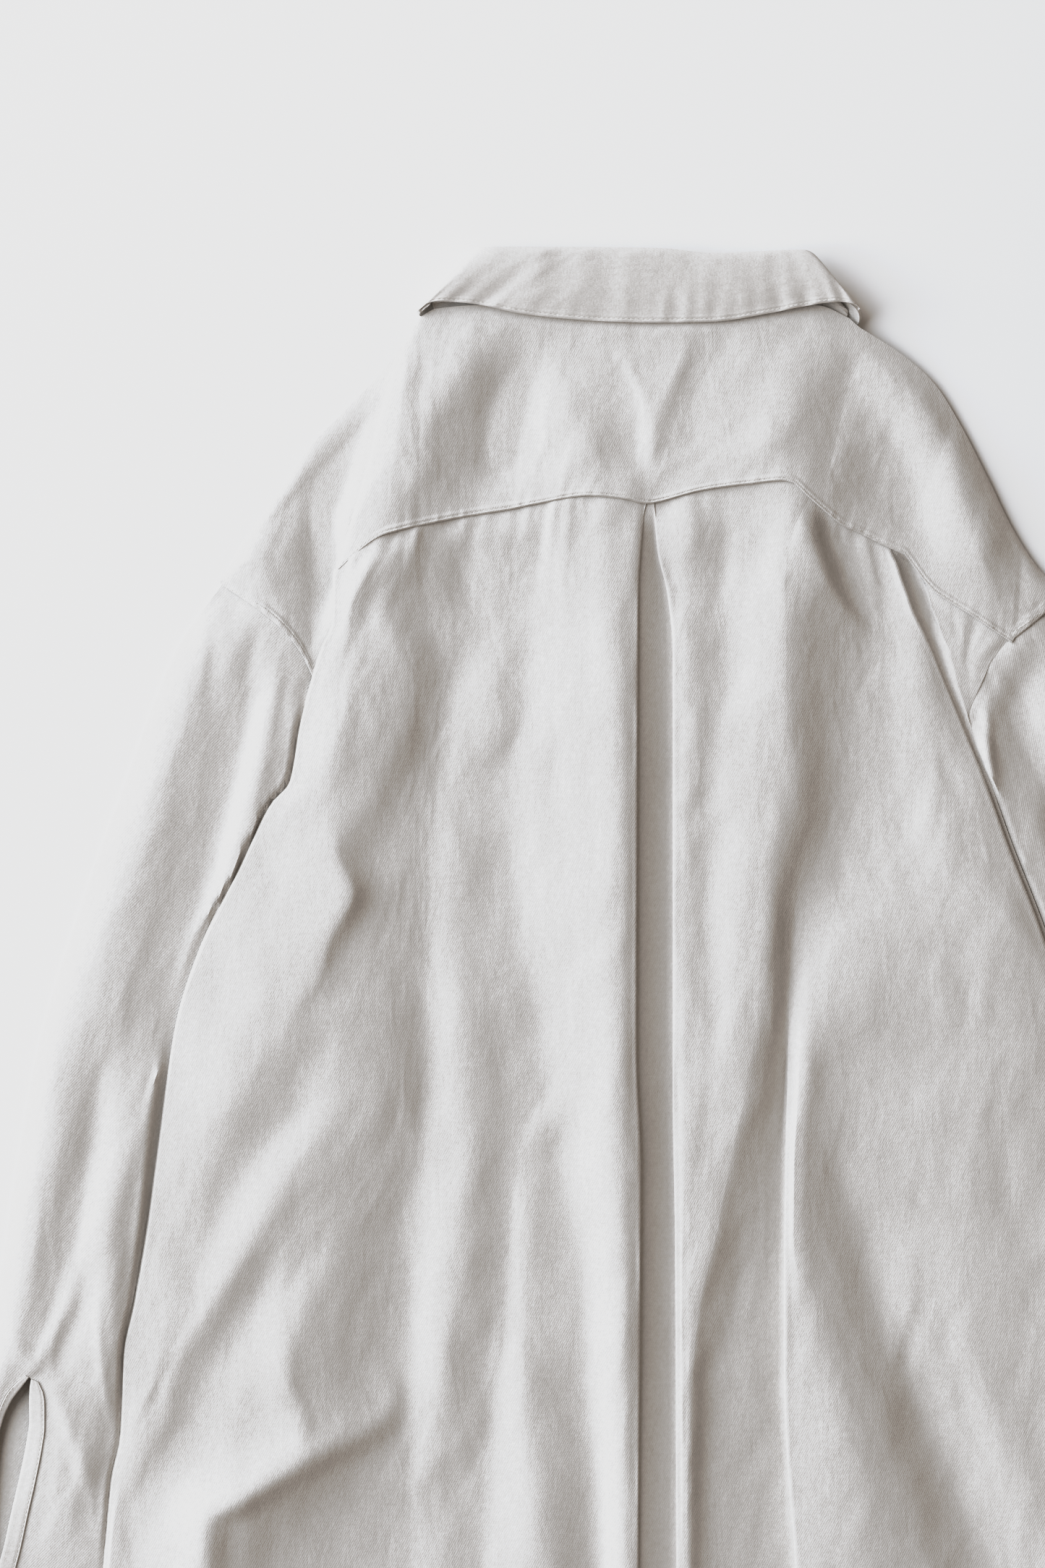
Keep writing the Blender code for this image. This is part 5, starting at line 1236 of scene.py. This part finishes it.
# %% Collar sections
# fold edge x, y, z, then outer edge x, y, z
FALL_SECTIONS = (
    (-6, 221, 0, -66, 168, 0), (-34, 244, 0, -84, 198, 0), (-62, 267, 0, -101, 228, 0),
    (-86, 286, 0, -117, 254, 0), (-95, 293, 2.5, -126, 258.5, 2.5), (-97.5, 295, 9, -128.5, 260, 8),
    (-95, 295.4, 17, -126, 262, 13), (-88, 295.4, 20, -118, 265.5, 15),
    (-70, 295.4, 20.5, -95, 264, 14), (-50, 295.3, 20.5, -71, 259, 13.4),
    (-30, 295.2, 20.5, -39, 255.6, 13.2), (-10, 294.9, 20.5, -8, 254.2, 13.2),
    (10, 294.3, 20.5, 18, 254.2, 13.2), (32, 292, 20.5, 41, 255, 13.4),
    (56, 292.6, 20.5, 65, 259, 14), (76, 293.6, 20.5, 88, 263.4, 15.5),
    (88, 292.8, 20, 105, 265.2, 17), (97, 284, 17, 114.5, 262.5, 16),
    (99.5, 281.5, 9, 117, 257.5, 9), (97, 280, 2.5, 115, 253, 2.5), (88, 277, 0, 108, 247, 0),
    (62, 260, 0, 96, 226, 0), (34, 240, 0, 82, 197, 0), (6, 221, 0, 66, 168, 0))
STAND_SECTIONS = (
    (5, 214, 2.4, 5, 189, 2.4), (-30, 236, 2.4, -44, 195, 2.4), (-58, 258, 2.4, -84, 218, 2.4),
    (-84, 278, 2.4, -112, 251, 2.4), (-91, 286, 4.6, -117.5, 259.5, 4),
    (-92.5, 290, 9, -120, 265, 7.2), (-90, 292, 14.5, -117, 265.6, 10),
    (-84, 292.4, 16.8, -108, 265.6, 10.6), (-60, 292.4, 17.3, -70, 264.6, 11.2),
    (-20, 292, 17.3, -22, 262.6, 11.2), (20, 290.4, 17.3, 22, 262.6, 11.2),
    (60, 289.4, 17.3, 66, 264.6, 11.2), (80, 289, 16.8, 96, 265.6, 10.6),
    (90, 283, 14, 106, 263, 9.6), (92, 278.5, 9, 109.6, 260, 5.4), (90, 275, 4.6, 105, 252, 3.4),
    (84, 269, 2.4, 101, 243, 2.4), (58, 254, 2.4, 84, 218, 2.4), (34, 238, 2.4, 44, 195, 2.4),
    (8, 214, 2.4, 8, 189, 2.4))
COLLAR_CREASES = ((26, 60, 24, 1.3, 0.0), (13, 40, -20, 0.5, 0.3), (8, 18, 30, 0.25, 0.4))
COLLAR_MARGIN = 2.0
SECTION_PARTS = 9               # steps of the curve from one section to the next


def collar_band(name, sections, steps, thick, bulge=0.0, roll=0.0, stitched=False):
    """A band of doubled cloth round the neck, its outside facing out."""
    route = np.asarray(sections, float)
    fold, outer = (smooth_line(part, SECTION_PARTS) for part in (route[:, :3], route[:, 3:]))
    t = steps[None, :, None]
    grid = fold[:, None] * (1 - t) + outer[:, None] * t
    # Only where the band stands up does it bulge; there its fold edge rolls over
    up = ramp(fold[:, 2], 12, 17)[:, None]
    length = np.linalg.norm(fold - outer, axis=1)[:, None]
    grid[..., 2] += bulge * up * np.sin(math.pi * steps)[None]
    grid[..., 2] -= roll * up * np.exp(-steps[None] * length / 1.6)
    if stitched:
        off, along = (1 - steps)[None] * length, run_of(outer)
        rows = pucker_rows(17, 0, along[-1], 7.0, 0.75, 2.3, 13.0)
        rows += pucker_rows(18, 0, along[-1], 4.0, 0.35, 1.3, 6.0)
        along = np.broadcast_to(along[:, None], off.shape)
        shape = puckers(along, off, rows, slant=0.25)
        shape += crumple(along, off, COLLAR_CREASES, 61) \
            * ramp(off, 0, 12) * ramp(length - off, 0, 4)
        turned_in = ramp(off, 0, 0.7) * (1 - ramp(off, 2.2, 4.2))
        shape += 0.3 * turned_in - 0.35 * np.exp(-((off - COLLAR_MARGIN) / 0.5) ** 2)
        grid[..., 2] += shape * up
    grid[..., 2] = np.maximum(grid[..., 2], 0.0)
    quads = strip_quads(*grid.shape[:2], flip=True)
    return cloth_wall(name, grid, quads, DOUBLE_CLOTH_PAINTED_LIGHTER, thick), grid


# %% Collar
FALL_DEPTH = 42                 # mm from the fold edge to the outer edge, for the places below
fall_steps = np.concatenate((
    [0, 0.012, 0.03, 0.055], np.linspace(0.085, 0.86, 28),
    1 - np.array([4.6, 3.8, 3.0, 2.4, COLLAR_MARGIN, 1.6, 1.1, 0.5, 0.0]) / FALL_DEPTH))
fall_piece, fall_grid = collar_band("collar_fall_cloth", FALL_SECTIONS, fall_steps, 1.9, 1.4, 1.8,
                                    stitched=True)
stand_piece, _ = collar_band("collar_stand_cloth", STAND_SECTIONS, np.linspace(0, 1, 14), DOUBLED)

# %% [markdown]
# ## Cuffs, fronts and the button band
# These lie underneath or outside the picture. They are finished as on any such shirt: doubled
# cuffs, two flat fronts, and a folded band that the buttons close.

# %% Cuffs
CUFF_DEPTH, CUFF_START = 62.0, 0.9
CUFF_RING, CUFF_ROWS = 96, 44
CUFF_HALF = 3.7                 # half the height of a pressed cuff


def cuff_frame(side):
    """Corner, direction along the cuff and direction down it."""
    _, outer, inner = sleeve_tables(side)
    a, b = np.array(outer[-1], float), np.array(inner[-1], float)
    along = (b - a) / np.linalg.norm(b - a)
    down = np.array((along[1], -along[0])) * (1 if along[0] > 0 else -1)
    return a, along, down, np.linalg.norm(b - a) + 1.0


def cuff(side, name):
    """One cuff, pressed flat: a tube of doubled cloth with stitched edges."""
    corner, along_way, down_way, width = cuff_frame(side)
    turn = np.linspace(0, 2 * math.pi, CUFF_RING, endpoint=False)
    share = 0.5 - 0.5 * np.sign(np.cos(turn)) * np.abs(np.cos(turn)) ** 0.45
    lift = CUFF_HALF + CUFF_HALF * np.sign(np.sin(turn)) * np.abs(np.sin(turn)) ** 0.30
    rings = []
    rows = pucker_rows(41 + side, 0, 300, 7.0, 0.35, 2.0, 6.0)
    for depth in np.linspace(CUFF_START, CUFF_DEPTH, CUFF_ROWS):
        edge_off = min(depth - CUFF_START, CUFF_DEPTH - depth)
        groove = 0.3 * math.exp(-((edge_off - 5.0) / 0.8) ** 2)
        flat = corner + down_way * depth + along_way * (share * width - 0.5)[:, None]
        z = lift - groove * (lift > 5)
        z = z + puckers(share * width, edge_off + 0.6, rows) * (lift > 6.8)
        rings.append(np.column_stack((flat, np.maximum(z, 0.0))))
    quads = strip_quads(CUFF_ROWS, CUFF_RING, closed=True, flip=side > 0)
    return cloth_wall(name, rings, quads, DOUBLE_CLOTH_PAINTED_LIGHTER, DOUBLED)


cuffs = {"cuff_left": cuff(-1, "cuff_cloth_left"), "cuff_right": cuff(1, "cuff_cloth_right")}

# %% Fronts
BAND_WIDTH, BAND_THICK = 32.0, 2.8
BAND_TOP, BAND_LOW = 186.0, HEM_CENTRE_Y + 12.0     # y of the band's two ends
GAP = 0.3                       # between the left front and the band; the right one lies on it
FRONT_COLUMNS, FRONT_ROWS = 56, 90


def front(side, name):
    """One front, face down on the table."""
    shoulder, armhole, edge = (LEFT_SHOULDER, LEFT_ARMHOLE, LEFT_SIDE) if side < 0 \
        else (RIGHT_SHOULDER, RIGHT_ARMHOLE, RIGHT_SIDE)
    start = -BAND_WIDTH / 2 - GAP if side < 0 else -BAND_WIDTH / 2 + 4.0
    # Its outline stays some millimetres inside the yoke's and the back's
    neck = [(start, 187.0), (side * 44.0, 193.0), (side * 84.0, 216.0),
            (shoulder[0][0] - side * 5.0, shoulder[0][1] - 4.0)]
    fold = [(x - side * 4.0, y - 4.0) for x, y, _ in shoulder[1:-1]]
    point = (armhole[0][0] - side * 6.0, armhole[0][1] - 4.0)
    top = np.vstack((curve(neck, 24), curve([neck[-1]] + fold + [point], 31)[1:]))
    seam_side = [(x - side * 7.0, y) for x, y, _ in armhole[1:6] if y > -1.0]
    body = [(x - side * 4.2, y) for y, x, _, _ in edge if y < -20.0]
    middle = [(near_side(-6.0, side) - side * 6.0, -6.0)]
    side_line = curve([point] + seam_side + middle + body, FRONT_ROWS - 1)
    hem_x = np.linspace(start, side_line[-1, 0], FRONT_COLUMNS)
    hem = np.column_stack((hem_x, hem_y(hem_x) + 10.0))
    hem[-1] = side_line[-1]
    centre = np.column_stack((np.full(FRONT_ROWS, start),
                              np.linspace(top[0, 1], hem[0, 1], FRONT_ROWS)))
    plan = coons(top, hem, centre, side_line, np.linspace(0, 1, FRONT_COLUMNS),
                 np.linspace(0, 1, FRONT_ROWS))
    x, y = plan[..., 0], plan[..., 1]
    low = front_low(x, y)
    if side > 0:
        low = np.maximum(low, 3.2 * ramp(x, 41, 21))
    low = low + 0.25 + 0.25 * noise(x / 24, y / 60, 55 + side)
    quads = strip_quads(FRONT_ROWS, FRONT_COLUMNS, flip=side < 0)
    return cloth_wall(name, np.dstack((x, y, low + CLOTH)), quads, BODY_CLOTH)


fronts = {"front_left": front(-1, "front_cloth_left"), "front_right": front(1, "front_cloth_right")}

# %% [markdown]
# ## Buttons
# Shirt buttons are turned from shell or a plastic like it: a disc with a raised rim, a dished
# middle and four holes. The profile is spun round an axis, and four small holes are cut through.

# %% Shell
# Polished shell has a soft gloss over cloudy, creamy layers a few millimetres wide
shell, tree, shader = new_material("polished trochus shell", {
    "Roughness": 0.28, "IOR": 1.53, "Coat Weight": 0.25})
layers = add(tree, "ShaderNodeTexNoise", {
    "Vector": add(tree, "ShaderNodeMapping", {
        "Vector": add(tree, "ShaderNodeTexCoord").outputs["Object"],
        "Scale": (1.0, 0.35, 1.0)}).outputs["Vector"],
    "Scale": 1 / (3.5 * MM), "Detail": 3.0, "Distortion": 1.2})
nacre = add(tree, "ShaderNodeMix", {
    0: layers.outputs["Fac"], 6: linear("#CFC6B4"), 7: linear("#F3EFE6")}, data_type="RGBA")
tree.links.new(nacre.outputs[2], shader.inputs["Base Color"])
# Mercerised thread is smoother than the cloth and a little paler
thread_cloth = twill("mercerised cotton thread", "#DEDBD6", "#CCC8C2", crumple=0.0)


# %% Spinning and drilling
def spun(profile, sides):
    """Points and faces of a profile spun about Z and closed at both ends."""
    turns = [2 * math.pi * k / sides for k in range(sides)]
    points = np.array([(r * math.cos(turn), r * math.sin(turn), z)
                       for turn in turns for r, z in profile])
    count = len(profile)
    faces = []
    for k in range(sides):
        n = (k + 1) % sides
        for i in range(count - 1):
            faces.append((k * count + i, n * count + i, n * count + i + 1, k * count + i + 1))
    faces.append(tuple(k * count for k in reversed(range(sides))))
    faces.append(tuple(k * count + count - 1 for k in range(sides)))
    return points, faces


def baked(thing):
    """The object with its modifiers applied."""
    mesh = bpy.data.meshes.new_from_object(
        thing.evaluated_get(bpy.context.evaluated_depsgraph_get()))
    thing.modifiers.clear()
    thing.data = mesh
    return thing


def drilled(body, places, profile, sides):
    """The object with a round hole at each place."""
    points, faces = spun(profile, sides)
    drills = [plain_object("drill", points + (*place, 0), faces) for place in places]
    for drill in drills:
        cut = body.modifiers.new("hole", "BOOLEAN")
        cut.operation, cut.object, cut.solver = "DIFFERENCE", drill, "EXACT"
    baked(body)
    for drill in drills:
        bpy.data.objects.remove(drill, do_unlink=True)
    return body


# %% Buttons
BUTTON_PROFILE = ((2.4, 0.0), (4.9, 0.0), (5.3, 0.25), (5.5, 0.75), (5.35, 1.3), (4.9, 1.58),
                  (4.3, 1.5), (3.7, 1.2), (2.9, 1.02), (1.2, 1.0))
BUTTON_THICK, HOLE_OFF, HOLE_RADIUS = 1.6, 1.05, 0.7

blank = plain_object("button_blank", *spun(BUTTON_PROFILE, 40))
holes = [(dx, dy) for dx in (-HOLE_OFF, HOLE_OFF) for dy in (-HOLE_OFF, HOLE_OFF)]
button_mesh = drilled(blank, holes, ((HOLE_RADIUS, -1.0), (HOLE_RADIUS, 3.0)), 12).data
bpy.data.objects.remove(blank, do_unlink=True)
print("button faces", len(button_mesh.polygons))


def node_centre(node):
    """Middle of a CAD node's box in millimetres, and the height of its underside."""
    low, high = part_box(node)
    return (np.array(low) + np.array(high)) / 2 / MM, low[2] / MM


def button(node, down):
    """A button where its CAD node is, face down or face up."""
    centre, low = node_centre(node)
    points = np.array([tuple(v.co) for v in button_mesh.vertices]) / MM
    if down:
        points = points * (1, -1, -1) + (0, 0, BUTTON_THICK)
    faces = [tuple(p.vertices) for p in button_mesh.polygons]
    return plain_object("shell_" + node, points + (centre[0], centre[1], low), faces, shell,
                        sharp=40)


button_nodes = [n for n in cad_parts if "button" in n]
buttons = {node: button(node, not node.startswith("cuff")) for node in button_nodes}
print("buttons", len(buttons))


# %% Button band
BAND_ROWS, BAND_CORNER = 60, 0.6
HOLLOW_RADIUS, HOLLOW_TOP = 5.85, 1.95


def band():
    """The folded band down the centre front, with a hollow that closes on each button."""
    half = BAND_WIDTH / 2
    section = ((-half + BAND_CORNER, 0.0), (half - BAND_CORNER, 0.0), (half, 0.7),
               (half, BAND_THICK - 0.7), (half - BAND_CORNER, BAND_THICK),
               (-half + BAND_CORNER, BAND_THICK), (-half, BAND_THICK - 0.7), (-half, 0.7))
    points = [(sx, sy, sz) for sy in np.linspace(BAND_TOP, BAND_LOW, BAND_ROWS)
              for sx, sz in section]
    faces = [(i * 8 + k, i * 8 + (k + 1) % 8, (i + 1) * 8 + (k + 1) % 8, (i + 1) * 8 + k)
             for i in range(BAND_ROWS - 1) for k in range(8)]
    faces += [tuple(reversed(range(8))), tuple(range((BAND_ROWS - 1) * 8, BAND_ROWS * 8))]
    body = plain_object("band_cloth", points, faces, DOUBLE_CLOTH_PAINTED_LIGHTER)
    places = [node_centre(node)[0][:2] for node in button_nodes if node.startswith("front")]
    drilled(body, places, ((HOLLOW_RADIUS, -2.0), (HOLLOW_RADIUS, HOLLOW_TOP)), 28)
    body.data.shade_smooth()
    body.data.set_sharp_from_angle(angle=math.radians(35))
    return body


band_piece = band()
print("band faces", len(band_piece.data.polygons))

# %% [markdown]
# ## Stitches
# A lockstitch shows as short dashes of thread in a row, each about 2 mm long and half sunk in the
# cloth. Geometry Nodes put one small bead of thread at every step along a line, turned to
# follow it. The lines are laid on the finished surfaces from above.

# %% Stitch lines
stitch_lines = []


def lay_row(surface, route, lift=0.05):
    """Drops a route of plan points on a piece's surface and keeps it as a row of stitches."""
    hits = [surfaces[surface].ray_cast(Vector((*place, 90.0)), Vector((0, 0, -1)))[0]
            for place in route]
    stitch_lines.append(np.array([(*hit[:2], hit.z + lift) for hit in hits if hit is not None]))


# The yoke's row runs at its margin, between two rows of its grid
at_margin = [float(np.interp(m * n, st * s, np.arange(len(st))))
             for m, n, s, st in zip(margin, narrow, span, steps.T)]
line = []
for j in range(2, yoke.shape[1] - 2):
    i = min(int(at_margin[j]), len(yoke) - 2)
    line.append(yoke[i, j] + (yoke[i + 1, j] - yoke[i, j]) * (at_margin[j] - i))
stitch_lines.append(np.array(line) + (0, 0, 0.02))
fall_row = int(np.argmin(np.abs((1 - fall_steps) * FALL_DEPTH - COLLAR_MARGIN)))
stitch_lines.append(fall_grid[:, fall_row] + (0, 0, 0.05))
lay_row("back_panel", [(v, float(hem_y(v)) + 9.0) for v in np.arange(-296, 292, 4.0)])
for side, hand, upper_layer, first in ((-1, "left", left_upper, left_first),
                                       (1, "right", right_upper, right_first)):
    for name, lip, inwards, width in (("binding_", 1, 1, 8.0), ("facing_", 0, -1, 3.6)):
        at_lip = upper_layer[first + 2:-2, LIP + lip, :2]
        way = upper_layer[first + 2:-2, LIP + lip + inwards, :2] - at_lip
        way = way / np.linalg.norm(way, axis=1)[:, None]
        lay_row(name + hand, curve(at_lip + way * width, 6 * len(way)))
    corner, along_way, down_way, width = cuff_frame(side)
    for depth in (6.0, CUFF_DEPTH - 5.0):
        a = corner + down_way * depth
        lay_row("cuff_cloth_" + hand, [a + along_way * v for v in np.linspace(8, width - 8, 60)])
for off_x in (-BAND_WIDTH / 2 + 5.0, BAND_WIDTH / 2 - 5.0):
    places = np.linspace(BAND_TOP - 3, BAND_LOW + 5, 120)
    stitch_lines.append(np.array([(off_x, v, 0.02) for v in places]))
print("stitch rows", len(stitch_lines))


# %% The stitch tree
def stitch_tree():
    """Beads of thread at even steps along every edge chain of a mesh."""
    tree = bpy.data.node_groups.new("stitches along lines", "GeometryNodeTree")
    face = tree.interface
    face.new_socket("Geometry", in_out="INPUT", socket_type="NodeSocketGeometry")
    for label in ("Pitch", "Stitch length", "Thread radius"):
        face.new_socket(label, in_out="INPUT", socket_type="NodeSocketFloat")
    face.new_socket("Thread", in_out="INPUT", socket_type="NodeSocketMaterial")
    face.new_socket("Geometry", in_out="OUTPUT", socket_type="NodeSocketGeometry")
    given = add(tree, "NodeGroupInput").outputs
    line = add(tree, "GeometryNodeMeshToCurve", {"Mesh": given["Geometry"]})
    steps_ = add(tree, "GeometryNodeResampleCurve", {
        "Curve": line.outputs["Curve"], "Length": given["Pitch"]}, mode="LENGTH")
    turn = add(tree, "FunctionNodeAlignRotationToVector", {
        "Vector": add(tree, "GeometryNodeInputTangent").outputs["Tangent"]}, axis="X")
    bead = add(tree, "GeometryNodeMeshUVSphere", {"Segments": 6, "Rings": 5, "Radius": 1.0})
    half = add(tree, "ShaderNodeMath", {0: given["Stitch length"], 1: 0.5}, operation="MULTIPLY")
    size = add(tree, "ShaderNodeCombineXYZ", {
        "X": half.outputs[0], "Y": given["Thread radius"], "Z": given["Thread radius"]})
    put = add(tree, "GeometryNodeInstanceOnPoints", {
        "Points": steps_.outputs["Curve"], "Instance": bead.outputs["Mesh"],
        "Rotation": turn.outputs["Rotation"], "Scale": size.outputs["Vector"]})
    real = add(tree, "GeometryNodeRealizeInstances", {"Geometry": put.outputs["Instances"]})
    smooth = add(tree, "GeometryNodeSetShadeSmooth", {"Geometry": real.outputs["Geometry"]})
    done = add(tree, "GeometryNodeSetMaterial", {
        "Geometry": smooth.outputs["Geometry"], "Material": given["Thread"]})
    add(tree, "NodeGroupOutput", {"Geometry": done.outputs["Geometry"]})
    return tree


def set_input(modifier, label, value):
    """Sets a modifier's input by its socket's identifier."""
    for item in modifier.node_group.interface.items_tree:
        if item.item_type == "SOCKET" and item.in_out == "INPUT" and item.name == label:
            modifier[item.identifier] = value


# %% Stitches
STITCH = {"Pitch": 2.7 * MM, "Stitch length": 2.1 * MM, "Thread radius": 0.17 * MM,
          "Thread": thread_cloth}
chain_points, chain_edges = [], []
for line in stitch_lines:
    start = len(chain_points)
    chain_points += [tuple(p * MM) for p in line]
    chain_edges += [(start + k, start + k + 1) for k in range(len(line) - 1)]
chain = bpy.data.meshes.new("stitch_rows")
chain.from_pydata(chain_points, chain_edges, [])
stitches = linked("stitches", chain)
sewing = stitches.modifiers.new("stitches", "NODES")
sewing.node_group = stitch_tree()
for label, value in STITCH.items():
    set_input(sewing, label, value)
baked(stitches)
print("stitch triangles", sum(len(p.vertices) - 2 for p in stitches.data.polygons))

# %% [markdown]
# ## Each piece on the body
# Every piece rides on the one body, and the CAD node that it stands for is hidden. Each sheet's
# area is printed beside the size that it was cut to.

# %% Flat sizes
cloths = {"back": back_piece, "yoke": yoke_piece, "collar_fall": fall_piece,
          "collar_stand": stand_piece, "sleeve_left": left_sleeve, "sleeve_right": right_sleeve,
          "front_band": band_piece, **cuffs, **fronts, **strips}
# node: width and length as cut, share of that rectangle that the cut fills, what it lies on
FLAT = {
    "back": (0.62, 0.66, 0.86, ("front_left", "front_right", "sleeve_left", "sleeve_right")),
    "yoke": (0.46, 0.15, 0.74, ("back", "sleeve_left", "sleeve_right")),
    "collar_fall": (0.50, 0.048, 0.94, ("collar_stand",)),
    "collar_stand": (0.48, 0.037, 0.96, ("front_left", "front_right")),
    "front_band": (0.064, 0.70, 0.5, ("front_left", "front_right")),
}
for hand in ("left", "right"):
    FLAT["sleeve_" + hand] = (0.36, 0.56, 0.80, ("front_" + hand,))
    FLAT["front_" + hand] = (0.30, 0.70, 0.80, ("front_band",))
    FLAT["cuff_" + hand] = (0.25, 0.064, 1.0, ("sleeve_" + hand,))
    FLAT["placket_" + hand] = (0.022, 0.13, 0.5, ("sleeve_" + hand,))
    FLAT[f"placket_{hand}_facing"] = (0.016, 0.13, 0.5, ("sleeve_" + hand,))
print("sheets", len(FLAT))

# %% Pieces on the body, and their areas
for node, piece in cloths.items():
    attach(piece, "root")
    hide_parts(node)
    width, length, share, under = FLAT[node]
    area, cut = sum(p.area for p in piece.data.polygons) / 2, width * length * share
    print(node, "area", round(area, 4), "cut", round(cut, 4), "ratio", round(area / cut, 2))
for node, piece in buttons.items():
    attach(piece, "root")
    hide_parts(node)
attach(stitches, "root")
